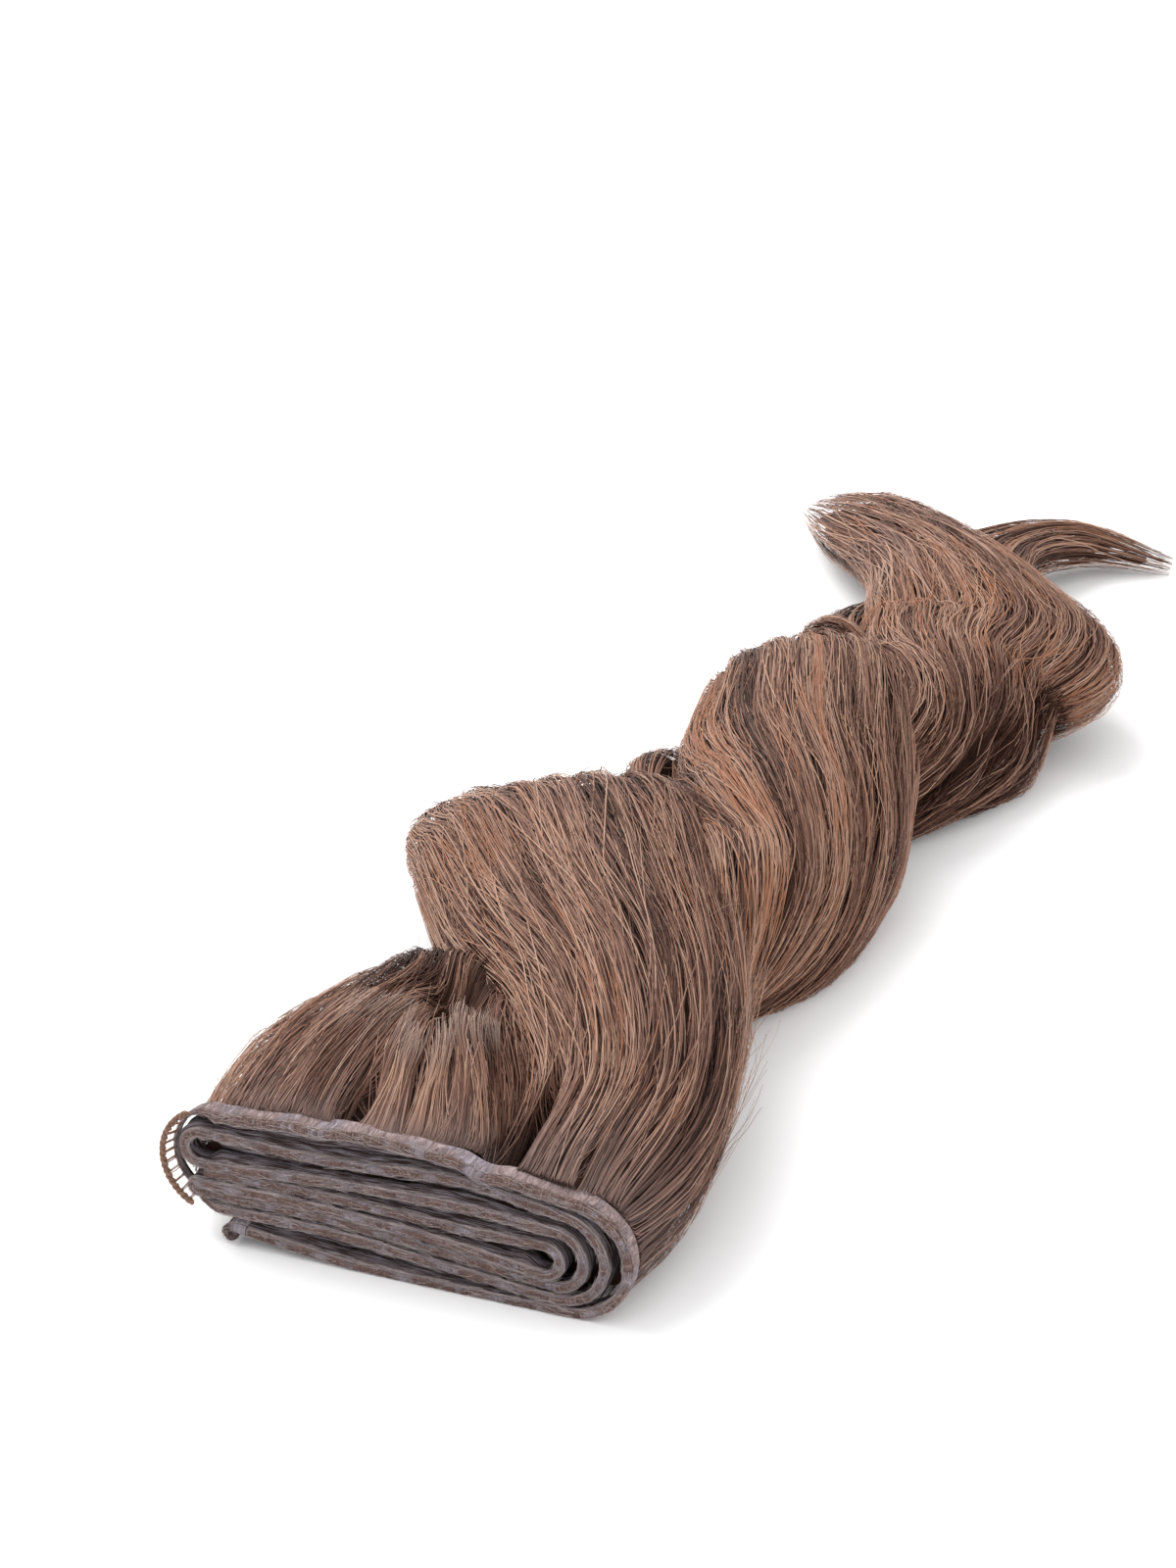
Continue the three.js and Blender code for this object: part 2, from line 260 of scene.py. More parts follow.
# Colour of one hair from its own tone, uneven along it, darker inside the hair mass as painted shade, and
# paler at a free tip
hairColours = {
    "deep": colour(32, 16, 11),
    "shade": colour(63, 37, 27),
    "brown": colour(97, 67, 56),
    "light": colour(133, 99, 85),
    "tan": colour(170, 138, 119),
    "copper": colour(144, 98, 74),
    "root": colour(114, 98, 95),
    "tip": colour(196, 178, 168),
    "inside": (0.16, 0.12, 0.1, 1.0),  # painted shade: what hair inside the mass is multiplied by
}
strandTone, groupIn, groupOut = newGroup(
    "strandTone",
    [
        ("Tone", "NodeSocketFloat", 0.5),
        ("Along", "NodeSocketFloat", 0.5),
        ("Darken", "NodeSocketFloat", 0.0),
        ("Grey Root", "NodeSocketFloat", 0.0),
        ("Root Length", "NodeSocketFloat", 0.05),
        ("Pale Tip", "NodeSocketFloat", 0.0),
    ],
    [("Color", "NodeSocketColor"), ("Roughness", "NodeSocketFloat")],
)
toneRamp = addRamp(strandTone, [
    (0.0, hairColours["deep"]),
    (0.22, hairColours["shade"]),
    (0.47, hairColours["brown"]),
    (0.7, hairColours["light"]),
    (0.88, hairColours["tan"]),
    (1.0, hairColours["copper"]),
])
places = addNode(strandTone, "ShaderNodeTexCoord")
patches = addNode(strandTone, "ShaderNodeTexNoise", {"Scale": 90.0, "Detail": 2.0})
shift = addRange(strandTone, {"To Min": -0.14, "To Max": 0.14})
shifted = addNode(strandTone, "ShaderNodeMath", operation="ADD")
# Hair inside the mass is multiplied by the inside colour: painted shade
deepen = addMix(strandTone, {"B": hairColours["inside"]}, "MULTIPLY")
tipPart = addRange(strandTone, {"From Min": 0.68}, "SMOOTHSTEP")
tipShare = addNode(strandTone, "ShaderNodeMath", operation="MULTIPLY")
tipped = addMix(strandTone, {"B": hairColours["tip"]})
rootPart = addRange(strandTone, {"To Min": 1.0, "To Max": 0.0}, "SMOOTHSTEP")
rootShare = addNode(strandTone, "ShaderNodeMath", operation="MULTIPLY")
greyed = addMix(strandTone, {"B": hairColours["root"]})
rough = addRange(strandTone, {"To Min": 0.4, "To Max": 0.55})
wire(
    strandTone,
    (places, "Object", patches, "Vector"),
    (patches, "Fac", shift, "Value"),
    (groupIn, "Tone", shifted, 0),
    (shift, "Result", shifted, 1),
    (shifted, "Value", toneRamp, "Fac"),
    (toneRamp, "Color", deepen, "A"),
    (groupIn, "Darken", deepen, "Factor"),
    (groupIn, "Along", rootPart, "Value"),
    (groupIn, "Root Length", rootPart, "From Max"),
    (rootPart, "Result", rootShare, 0),
    (groupIn, "Grey Root", rootShare, 1),
    (rootShare, "Value", greyed, "Factor"),
    (deepen, "Result", greyed, "A"),
    (groupIn, "Along", tipPart, "Value"),
    (tipPart, "Result", tipShare, 0),
    (groupIn, "Pale Tip", tipShare, 1),
    (tipShare, "Value", tipped, "Factor"),
    (greyed, "Result", tipped, "A"),
    (tipped, "Result", groupOut, "Color"),
    (groupIn, "Tone", rough, "Value"),
    (rough, "Result", groupOut, "Roughness"),
)

# Fine fibres and soft lumps of felted hair, stretched along the flow
feltGrain, groupIn, groupOut = newGroup(
    "feltGrain",
    [("Flow", "NodeSocketVector", None), ("Stretch", "NodeSocketVector", (1.0, 1.0, 1.0))],
    [("Fibres", "NodeSocketFloat"), ("Lumps", "NodeSocketFloat")],
)
fibreValues = {"Scale": 6.0, "Detail": 4.0, "Roughness": 0.7, "Distortion": 1.5}
stretched = addNode(feltGrain, "ShaderNodeVectorMath", operation="MULTIPLY")
fibres = addNode(feltGrain, "ShaderNodeTexNoise", fibreValues)
lumps = addNode(feltGrain, "ShaderNodeTexNoise", {"Scale": 0.9, "Detail": 3.0})
wire(
    feltGrain,
    (groupIn, "Flow", stretched, 0),
    (groupIn, "Stretch", stretched, 1),
    (stretched, "Vector", fibres, "Vector"),
    (stretched, "Vector", lumps, "Vector"),
    (fibres, "Fac", groupOut, "Fibres"),
    (lumps, "Fac", groupOut, "Lumps"),
)
print("shader groups made")


# A piece's flow, whole and split into its two numbers
def flowParts(tree):
    flow = addNode(tree, "ShaderNodeUVMap", uv_map="flow")
    parts = addNode(tree, "ShaderNodeSeparateXYZ")
    wire(tree, (flow, "UV", parts, "Vector"))
    return flow, parts


# Single hairs: the flow's first number is the tone, its second the place along the hair
def strandMaterial(name, rootLength, paleTip):
    sheen = {"Specular IOR Level": 0.12, "Specular Tint": (1.0, 0.82, 0.7, 1.0)}
    material, tree, shader = newMaterial(name, sheen)
    parts = flowParts(tree)[1]
    ends = {"Grey Root": 0.7, "Root Length": rootLength, "Pale Tip": paleTip}
    look = useGroup(tree, strandTone, ends)
    wire(
        tree,
        (parts, "X", look, "Tone"),
        (parts, "Y", look, "Along"),
        (look, "Color", shader, "Base Color"),
        (look, "Roughness", shader, "Roughness"),
    )
    return material


# Hair under the single strands: streaks that run along the flow, in shade and darkened further by painted
# shade
def coreMaterial():
    material, tree, shader = newMaterial("hairDepth", {"Specular IOR Level": 0.1})
    flow = addNode(tree, "ShaderNodeUVMap", uv_map="flow")
    stretch = addNode(tree, "ShaderNodeMapping", {"Scale": (260.0, 5.0, 1.0)})
    streaks = addNode(tree, "ShaderNodeTexNoise", {"Scale": 1.0, "Detail": 4.0, "Roughness": 0.65})
    # Darken paints the shade of the hair deep inside the mass
    look = useGroup(tree, strandTone, {"Darken": 0.8})
    bump = addNode(tree, "ShaderNodeBump", {"Strength": 0.7, "Distance": 0.0003})
    wire(
        tree,
        (flow, "UV", stretch, "Vector"),
        (stretch, "Vector", streaks, "Vector"),
        (streaks, "Fac", look, "Tone"),
        (streaks, "Fac", bump, "Height"),
        (look, "Color", shader, "Base Color"),
        (look, "Roughness", shader, "Roughness"),
        (bump, "Normal", shader, "Normal"),
    )
    return material


# rim: the rim's colour, paler towards 0.07 along both sides of its round edge as a painted highlight; inner:
# darker felt between the layers, partly painted shade, with brown and blue-grey patches
bandColours = {
    "rim": [(0.0, colour(118, 98, 93)), (0.03, colour(142, 124, 121)), (0.07, colour(214, 206, 210))],
    "inner": [(0.38, colour(54, 34, 28)), (0.48, colour(88, 75, 74)), (0.6, colour(160, 158, 170))],
    "fibres": [(0.3, colour(92, 70, 62)), (0.5, colour(190, 176, 172)), (0.68, colour(255, 252, 250))],
}


# Felted band: a pale rim with a painted highlight along both sides of its round edge, darker between the
# layers as painted shade, with brown and blue-grey patches
def bandMaterial():
    material, tree, shader = newMaterial("bandFelt", {"Specular IOR Level": 0.2, "Roughness": 0.85})
    flow, parts = flowParts(tree)
    grain = useGroup(tree, feltGrain, {"Stretch": (0.28, 14.0, 1.0)})
    # Faces behind the rim, between the layers, take the darker inner colour: painted shade
    edge = addRange(tree, {"From Min": 0.1, "From Max": 0.26}, "SMOOTHSTEP")
    patch = addRange(tree, {"From Min": 0.48, "From Max": 0.58, "To Max": 0.75}, "SMOOTHSTEP")
    # Share of the inner colour: painted shade behind the rim, and the patches
    innerShadeAndPatches = addNode(tree, "ShaderNodeMath", operation="MAXIMUM")
    # The rim's colour with its painted highlight
    rimAndHighlight = addRamp(tree, bandColours["rim"])
    inner = addRamp(tree, bandColours["inner"])
    rim = addMix(tree)
    fibreTint = addRamp(tree, bandColours["fibres"])
    tinted = addMix(tree, {"Factor": 0.85}, "MULTIPLY")
    bump = addNode(tree, "ShaderNodeBump", {"Strength": 0.8, "Distance": 0.0003})
    wire(
        tree,
        (flow, "UV", grain, "Flow"),
        (parts, "Y", edge, "Value"),
        (grain, "Lumps", patch, "Value"),
        (edge, "Result", innerShadeAndPatches, 0),
        (patch, "Result", innerShadeAndPatches, 1),
        (parts, "Y", rimAndHighlight, "Fac"),
        (grain, "Lumps", inner, "Fac"),
        (innerShadeAndPatches, "Value", rim, "Factor"),
        (rimAndHighlight, "Color", rim, "A"),
        (inner, "Color", rim, "B"),
        (grain, "Fibres", fibreTint, "Fac"),
        (rim, "Result", tinted, "A"),
        (fibreTint, "Color", tinted, "B"),
        (tinted, "Result", shader, "Base Color"),
        (grain, "Fibres", bump, "Height"),
        (bump, "Normal", shader, "Normal"),
    )
    return material


# Sewing thread, in the two given colours mixed by its own tone
def threadMaterial(name, dark, pale):
    material, tree, shader = newMaterial(name, {"Specular IOR Level": 0.3, "Roughness": 0.65})
    flow, parts = flowParts(tree)
    grain = useGroup(tree, feltGrain, {"Stretch": (9.0, 40.0, 1.0)})
    stronger = addNode(tree, "ShaderNodeMath", {1: 1.6}, operation="MULTIPLY")
    share = addNode(tree, "ShaderNodeMath", operation="MULTIPLY")
    mixed = addMix(tree, {"A": dark, "B": pale})
    wire(
        tree,
        (flow, "UV", grain, "Flow"),
        (grain, "Fibres", stronger, 0),
        (stronger, "Value", share, 0),
        (parts, "X", share, 1),
        (share, "Value", mixed, "Factor"),
        (mixed, "Result", shader, "Base Color"),
    )
    return material


strandLook = strandMaterial("hairStrands", rootLength=0.06, paleTip=0.0)
tipLook = strandMaterial("hairTips", rootLength=0.4, paleTip=0.3)
coreLook = coreMaterial()
bandLook = bandMaterial()
seamLook = threadMaterial("seamThread", colour(92, 75, 70), colour(146, 131, 127))
fuzzLook = threadMaterial("feltFuzz", colour(104, 86, 80), colour(198, 187, 185))
ladderLook = threadMaterial("ladderThread", colour(80, 54, 43), colour(176, 140, 116))
print("materials made")

# The folded band

band = {
    "wall": 1.0,  # thickness of the strip
    "depth": 3.5,  # from its sewn edge to the hair
    "stations": 0.36,  # length of one piece of the strip
    "lineSteps": 140,  # points along one layer
    "foldSteps": 42,  # points round one fold
    "rimSides": 9,
    "rimSwell": 0.14,  # the sewn edge is this much thicker each side
    "rimRound": 0.42,
    "rimUneven": 0.55,  # share of the unevenness at the sewn edge
    "beadPitch": 1.08,  # from stitch to stitch along the edge
    "beadRise": 0.06,
    "unevenness": 0.13,
    "faceSink": 0.06,  # how far the faces lie under the edge
    "backShare": 0.6,  # thickness share where the hair starts
    "openFold": 5,  # the fold whose thread has pulled off
    "openWall": 0.4,  # thickness share of that fold
    "fill": 0.47,  # share of the gap to the next layer that felt fills behind the rim
    "fillGap": 0.04,
    "fillMost": 2.3,
    "fillThin": (0.3, 3.0),  # felt thins out this near to a fold
    "fillRagged": 1.6,
    "outerLook": 0.05,  # the outermost layer's outer face shows its rim's colour, free of the painted shade between the layers
    "outerStart": 8.0,  # how far before the open fold that layer starts
    "curlRadius": 0.85,  # of the free end
    "curlTurn": 4.9,  # in radians
    "curlTighten": 0.07,
    "curlWall": 0.7,
    "curlLength": 5.5,
    "curlLook": 0.6,
    "seed": 5,
}
# Behind the rim on both faces: depth, share of the felt fill, look from 0 at the rim to 1 at the hair; a
# larger look gets the painted shade between the layers
bandFaces = [(0.62, 0.0, 0.17), (0.72, 0.35, 0.24), (0.82, 0.92, 0.6), (1.22, 1.0, 0.75), (3.0, 1.0, 0.9)]
heightPlaces = (-23, -8, 8, 22)
# Height of each layer's middle at those places, and how far its edge is set back
layers = {
    1: (17.0, 18.1, 17.5, 15.2, 0.0),
    2: (14.2, 13.9, 14.9, 13.0, 0.5),
    3: (10.2, 11.2, 11.6, 10.8, 0.2),
    4: (8.9, 8.9, 8.4, 8.6, 0.6),
    5: (7.6, 7.4, 6.3, 4.6, 0.1),
    6: (6.1, 5.9, 4.6, 3.2, 0.5),
    7: (4.5, 4.4, 3.0, 1.85, 0.1),
    8: (2.5, 0.9, 0.45, 0.4, 0.1),
}
# Dips of the top layer: x, depth, half width
rimDips = [(-10, 0.45, 2.2), (11, 0.85, 2.4)]
# The strip's way: layer, from x, to x, how far the fold after it reaches, how far that fold is set back
foldRoute = [
    (4, -25, 18.8, 20.7, 0.2),
    (5, 18.8, -25.7, -26.5, 0.3),
    (6, -25.7, 19.9, 23.6, 0.3),
    (3, 19.9, -25.4, -27.4, 0.2),
    (2, -25.4, 20.7, 26.3, 0.2),
    (7, 20.7, -23.3, -29.5, 2.3),
    (1, -23.3, 21.75, 29.2, 0.1),
    (8, 21.75, -21.5, None, None),
]


def layerHeight(layer, x):
    rows = np.interp(x, heightPlaces, range(len(heightPlaces)))
    height = smoothRows(layers[layer][:4], rows)
    if layer == 1:
        for dipX, depth, half in rimDips:
            height = height - depth * np.exp(-(((x - dipX) / half) ** 2))
    return np.maximum(height, band["wall"] / 2)


# Points of a fold at angles from 0 to pi: x, z and set back
def foldAt(order, angle, standOff=0.0):
    layer, start, end, foldReach, foldRecess = foldRoute[order]
    nextLayer, nextStart = foldRoute[order + 1][:2]
    startHeight = layerHeight(layer, end)
    endHeight = layerHeight(nextLayer, nextStart)
    turn = np.sin(angle)
    radius = (endHeight - startHeight) / 2
    reach = foldReach - end
    edge = layers[layer][4] + (layers[nextLayer][4] - layers[layer][4]) * angle / math.pi
    x = end + (reach + math.copysign(standOff, reach)) * turn
    z = (startHeight + endHeight) / 2 - (radius + math.copysign(standOff, radius)) * np.cos(angle)
    recess = edge + (foldRecess - edge) * np.minimum(1, 1.4 * turn)
    return np.stack([x, z, recess], -1)


# The strip's middle line in even steps: distance, then x, z, set back and thickness share, then direction
def bandLine():
    parts = []
    steps = band["lineSteps"]
    for order, (layer, start, end, foldReach, foldRecess) in enumerate(foldRoute):
        x = np.linspace(start, end, steps)
        setBack = np.full(steps, layers[layer][4])
        parts.append(np.stack([x, layerHeight(layer, x), setBack, np.ones(steps)], -1))
        if foldReach is not None:
            angle = np.linspace(0, math.pi, band["foldSteps"])[1:-1]
            wall = np.ones(len(angle))
            if order == band["openFold"]:
                wall = 1 - (1 - band["openWall"]) * np.minimum(1, 1.5 * np.sin(angle))
            parts.append(np.concatenate([foldAt(order, angle), wall[:, None]], 1))
    endX, endZ, endRecess = parts[-1][-1, :3]
    angle = np.linspace(0, band["curlTurn"], 40)[1:]
    radius = band["curlRadius"] * (1 - band["curlTighten"] * angle)
    curlX = endX - radius * np.sin(angle)
    curlZ = endZ - band["curlRadius"] + radius * np.cos(angle)
    curlEnds = [np.full(len(angle), value) for value in (endRecess, band["curlWall"])]
    parts.append(np.stack([curlX, curlZ, *curlEnds], -1))
    line = np.concatenate(parts)
    travelled = travel(line[:, :2])
    even = np.linspace(0, travelled[-1], int(travelled[-1] / band["stations"]))
    path = np.stack([np.interp(even, travelled, line[:, i]) for i in range(4)], -1)
    return even, path, unit(np.gradient(path[:, :2], axis=0))


bandEven, bandPath, bandWay = bandLine()


# How far felt swells out behind the rim on one side of the strip (+1 or -1), along the whole strip
def feltFill(side):
    places, fills = [], []
    travelled = 0.0
    for order, (layer, start, end, foldReach, foldRecess) in enumerate(foldRoute):
        x = np.linspace(start, end, band["lineSteps"])
        z = layerHeight(layer, x)
        above = side * np.sign(end - start) > 0
        neighbour = layer - 1 if above else layer + 1
        gap = np.zeros(len(x))
        if 1 <= neighbour <= len(layers):
            gap = np.abs(layerHeight(neighbour, x) - z) - band["wall"]
        fill = np.clip(band["fill"] * gap - band["fillGap"], 0, band["fillMost"])
        # Felt thins out where the strip folds onto itself.
        if order + 1 < len(foldRoute) and (foldRoute[order + 1][0] < layer) == above:
            fill = fill * ease(*band["fillThin"], np.abs(end - x))
        if order > 0 and (foldRoute[order - 1][0] < layer) == above:
            fill = fill * ease(*band["fillThin"], np.abs(x - start))
        steps = travel(np.stack([x, z], -1))
        places.append(travelled + steps)
        fills.append(fill)
        travelled += steps[-1]
        if foldReach is not None:
            travelled += travel(foldAt(order, np.linspace(0, math.pi, band["foldSteps"]))[:, :2])[-1]
    return np.interp(bandEven, np.concatenate(places), np.concatenate(fills), right=0.0)


# Points on the strip: place along it, off from its middle plane, deep behind its sewn edge
def bandPoints(place, off, deep):
    x, z, recess, wall = [np.interp(place, bandEven, bandPath[:, i]) for i in range(4)]
    wayX, wayZ = [np.interp(place, bandEven, bandWay[:, i]) for i in range(2)]
    return np.stack([x - wayZ * off * wall, recess + deep, np.maximum(z + wayX * off * wall, 0.03)], -1)


def makeBand():
    rng = np.random.default_rng(band["seed"])
    half = band["wall"] / 2
    bead = np.abs(np.sin(math.pi * bandEven / band["beadPitch"]))
    waves = 6
    uneven = waver(rng, waves, bandEven[None, :] / 40, 4.0) * band["unevenness"]
    # Round the section: off from the middle plane, depth, 1 on the rim, share of the felt fill, look
    section = []
    for angle in math.pi * np.arange(band["rimSides"]) / (band["rimSides"] - 1):
        deep = band["rimRound"] * (1 - math.sin(angle))
        section.append((half * math.cos(angle), deep, 1.0, 0.0, deep / band["depth"]))
    section += [(-half, deep, 0.0, share, look) for deep, share, look in bandFaces]
    section += [(side * half * band["backShare"], band["depth"], 0.0, 0.0, 1.0) for side in (-1, 1)]
    section += [(half, deep, 0.0, share, look) for deep, share, look in bandFaces[::-1]]
    fills = {1: feltFill(1), -1: feltFill(-1)}
    back = band["depth"] - bandPath[:, 2]
    curled = bandEven > bandEven[-1] - band["curlLength"]
    outermost = bandEven > bandEven[np.argmin(bandPath[:, 0])] - band["outerStart"]
    rings = []
    flow = []
    for number, (off, deep, onRim, share, look) in enumerate(section):
        swell = onRim * (band["rimSwell"] + band["beadRise"] * (bead - 0.5))
        wobble = uneven[number % waves]
        wobble = wobble * band["rimUneven"] if onRim else wobble - band["faceSink"]
        felt = fills[1 if off > 0 else -1] * share
        swollen = off * (1 + swell / half) + np.sign(off) * (wobble + felt)
        front = deep - onRim * (band["beadRise"] * (bead - 0.7) + 0.5 * uneven[waves - 1])
        if bandFaces[0][0] < deep < bandFaces[-1][0]:
            front = front + band["fillRagged"] * uneven[(number + 2) % waves]
        depth = np.minimum(front, back) if deep < band["depth"] else back
        rings.append(bandPoints(bandEven, swollen, depth))
        # The outermost layer's outer face has no layer over it and gets no painted shade
        looks = np.where(outermost & (off > 0), band["outerLook"] * look, look)
        flow.append(np.stack([bandEven, np.where(curled, band["curlLook"], looks)], -1))
    return skin(np.stack(rings, 1)[:, ::-1], np.stack(flow, 1)[:, ::-1])


bandPiece = makeMesh("band_felt", *makeBand(), bandLook, "band")
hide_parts("weft_band")

# Overlock thread over the band's sewn edge, one low loop at each bead
seam = {
    "ends": (0.8, 6.0),  # free of stitches at the strip's two ends
    "thread": 0.065,
    "reach": 0.7,
    "onFace": 0.25,  # share of a loop on each face
    "dip": 0.22,
    "lean": 0.4,
    "sink": 0.05,
    "steps": 8,
    "seed": 8,
}


def makeSeam():
    rng = np.random.default_rng(seam["seed"])
    starts = np.arange(seam["ends"][0], bandEven[-1] - seam["ends"][1], band["beadPitch"])
    starts = starts + rng.normal(0, 0.07, len(starts))
    starts = starts[np.interp(starts, bandEven, bandPath[:, 3]) > 0.95]
    count, steps, onFace = len(starts), seam["steps"], seam["onFace"]
    share = np.linspace(0, 1, steps)
    half = band["wall"] / 2 + band["rimSwell"] - seam["sink"]
    reach = seam["reach"] * rng.uniform(0.7, 1.25, (count, 1))
    swing = np.pi * np.clip((share - onFace) / (1 - 2 * onFace), 0, 1)
    flat = np.maximum(np.abs(share - 0.5) - 0.5 + onFace, 0) / onFace
    place = starts[:, None] + seam["lean"] * (share - 0.5) + rng.normal(0, 0.03, (count, steps))
    off = (half - seam["dip"] * flat) * np.cos(swing) * np.ones_like(place)
    deep = band["rimRound"] * (1 - np.sin(swing)) + seam["sink"] - 0.06 + flat * reach
    radii = np.full(place.shape, seam["thread"]) * rng.uniform(0.7, 1.2, (count, 1))
    return tubes(bandPoints(place, off, deep), radii, rng.uniform(0.4, 1, count), sides=4)


makeMesh("edge_stitches", *makeSeam(), seamLook, "thread")

# Loose fibres that stand off the felted edge
fuzz = {
    "count": 3100,
    "length": (0.7, 2.4),
    "rise": (0.05, 0.34),
    "around": (-105, 105),  # degrees from the edge's middle
    "width": 0.035,
    "tones": (0.2, 1.0),
    "steps": 5,
    "seed": 12,
}


def makeFuzz():
    rng = np.random.default_rng(fuzz["seed"])
    count, steps = fuzz["count"], fuzz["steps"]
    share = np.linspace(0, 1, steps)[None, :]
    place = rng.uniform(0.5, bandEven[-1] - 0.5, (count, 1))
    around = np.radians(rng.uniform(*fuzz["around"], (count, 1)))
    length = rng.uniform(*fuzz["length"], (count, 1)) * rng.choice((-1, 1), (count, 1))
    rise = rng.uniform(*fuzz["rise"], (count, 1)) * (share ** 0.6 + rng.normal(0, 0.1, (count, steps)))
    turned = around + rng.normal(0, 0.5, (count, 1)) * share
    half = band["wall"] / 2 + band["rimSwell"]
    off = (half + rise) * np.sin(turned)
    deep = band["rimRound"] - (band["rimRound"] + rise) * np.cos(turned)
    paths = bandPoints(place + length * share, off, deep)
    widths = fuzz["width"] * (1 - 0.5 * share) * rng.uniform(0.7, 1.3, (count, 1))
    outward = np.broadcast_to(np.array((0.1, -1.0, 0.4)), paths.shape)
    return ridges(paths, outward, widths, rng.uniform(*fuzz["tones"], count), share)


makeMesh("felt_fuzz", *makeFuzz(), fuzzLook, "band")

# The pulled thread of the outer left fold: two plies twisted, with thin rungs to the band
ladder = {
    "first": 0.15,  # share of the fold where it starts and ends
    "last": 0.83,
    "flare": 0.7,  # how far it stands off the fold
    "behind": 0.45,  # its middle behind the front plane
    "ply": 0.25,
    "plySpread": 0.8,
    "twist": 1.5,  # length of one turn
    "rungs": 11,
    "rungThread": 0.09,
    "rungNudges": (-0.012, 0.0, 0.014),  # threads of one rung, by angle
    "steps": 150,
    "rungSteps": 7,
    "seed": 3,
}


def makeLadder():
    rng = np.random.default_rng(ladder["seed"])
    order = band["openFold"]
    inward = np.array((0, 1.0, 0))
    angle = np.linspace(ladder["first"], ladder["last"], ladder["steps"]) * math.pi

    # On the pulled thread's middle line, at angles of the fold
    def threadAt(angles):
        fold = foldAt(order, angles, ladder["flare"])
        return np.stack([fold[:, 0], np.full(len(angles), ladder["behind"]), fold[:, 1]], -1)

    path = threadAt(angle)
    outward = unit(np.cross(unit(np.gradient(path, axis=0)), inward))
    turn = 2 * math.pi * travel(path) / ladder["twist"]
    plies = []
    for start in (0, math.pi):
        swing = outward * np.cos(turn + start)[:, None] + inward * np.sin(turn + start)[:, None]
        plies.append(path + swing * ladder["ply"] * ladder["plySpread"])
    radii = np.full((2, ladder["steps"]), ladder["ply"])
    cord = tubes(np.stack(plies), radii, np.array((0.25, 0.4)), sides=7)
    share = np.linspace(0, 1, ladder["rungSteps"])[None, :, None]
    places = (np.arange(ladder["rungs"]) + 0.5) / ladder["rungs"]
    rungAngles = (ladder["first"] + (ladder["last"] - ladder["first"]) * places) * math.pi
    rungs = []
    for nudge in ladder["rungNudges"]:
        start = threadAt(rungAngles + nudge)
        ends = foldAt(order, rungAngles + nudge * 1.8)
        end = np.stack([ends[:, 0], ends[:, 2] + 0.1, ends[:, 1]], -1)
        sag = np.sin(math.pi * share) * rng.normal(0, 0.06, (len(places), 1, 3))
        rungs.append(start[:, None] * (1 - share) + end[:, None] * share + sag)
    rungs = np.concatenate(rungs)
    radii = np.full(rungs.shape[:2], ladder["rungThread"])
    threads = tubes(rungs, radii, rng.uniform(0.6, 1, len(rungs)), sides=4)
    return joined([cord, threads])


ladderPiece = makeMesh("ladder_threads", *makeLadder(), ladderLook, "thread")
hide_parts("stitch_ladder")

# The hair: two swaths twisted over each other and slack hair between them.
# Each row: x, y, z of the swath's middle, its width and thickness, its roll in degrees, its arch
overSwath = [
    (20.5, 0, 9, 20, 17, 0, 0),
    (19.5, 22, 12, 23, 18, -8, 1),
    (12, 42, 17, 31, 16, -6, 4),
    (0.5, 62, 18.8, 38, 15, 1, 5),
    (-11.5, 83, 18, 41, 14, 2, 3),
    (-18.5, 93.5, 12, 36, 12, 2, 2),
    (-14, 103, 6.5, 24, 11, 60, 1),
    (-1, 116, 7, 22, 12, 180, 1),
    (11.5, 126, 7.5, 20, 13, 240, 2),
    (18.5, 137, 9.5, 20, 13, 272, 2),
    (20, 149, 11.5, 29, 12, 312, 2),
    (18, 159, 14, 29, 11.5, 338, 2),
    (18.5, 168.5, 15.2, 37, 10.5, 354, 3),
    (11.5, 179, 16, 30, 11.5, 355, 4),
    (3, 192, 14.5, 21, 10, 360, 3),
    (-7, 206, 11, 17, 9, 366, 2),
    (-18, 219, 7.5, 15, 7, 368, 1),
    (-29.5, 231, 3.2, 6, 2.5, 368, 0),
]
underSwath = [
    (-7, 0, 9, 38, 17, 0, 0),
    (-10, 22, 12.5, 39, 19, 6, 2),
    (-8, 40, 12.5, 32, 17, 25, 3),
    (2, 57, 8, 26, 14, 140, 2),
    (10.5, 71, 7.5, 26, 14, 225, 2),
    (15.5, 87, 10, 28, 16, 285, 3),
    (13.5, 103, 14.5, 32, 15, 325, 4),
    (7.5, 119, 17.5, 32, 14, 350, 5),
    (1.5, 138.5, 17.5, 28, 14, 364, 3),
    (-4, 149.5, 11, 25, 12, 376, 2),
    (-1, 160, 7, 21, 12, 480, 1),
    (3, 180, 7, 19, 12, 545, 1),
    (4, 200, 6.5, 17, 10, 545, 1),
    (5, 217, 6, 12, 7, 545, 1),
    (13, 230, 4.5, 7, 5, 545, 0),
    (27, 234.3, 1.2, 2, 1.2, 545, 0),
]
slackSwath = [
    (0, 36, 9, 26, 14, 0, 0),
    (0, 66, 11, 28, 17, 0, 1),
    (0, 90, 11, 26, 17, 0, 1),
    (3, 116, 10, 22, 15, 0, 1),
    (6, 142, 10, 22, 15, 0, 1),
    (8, 166, 9, 18, 13, 0, 1),
    (6, 190, 6.5, 14, 8, 0, 0),
]
swaths = (overSwath, underSwath, slackSwath)
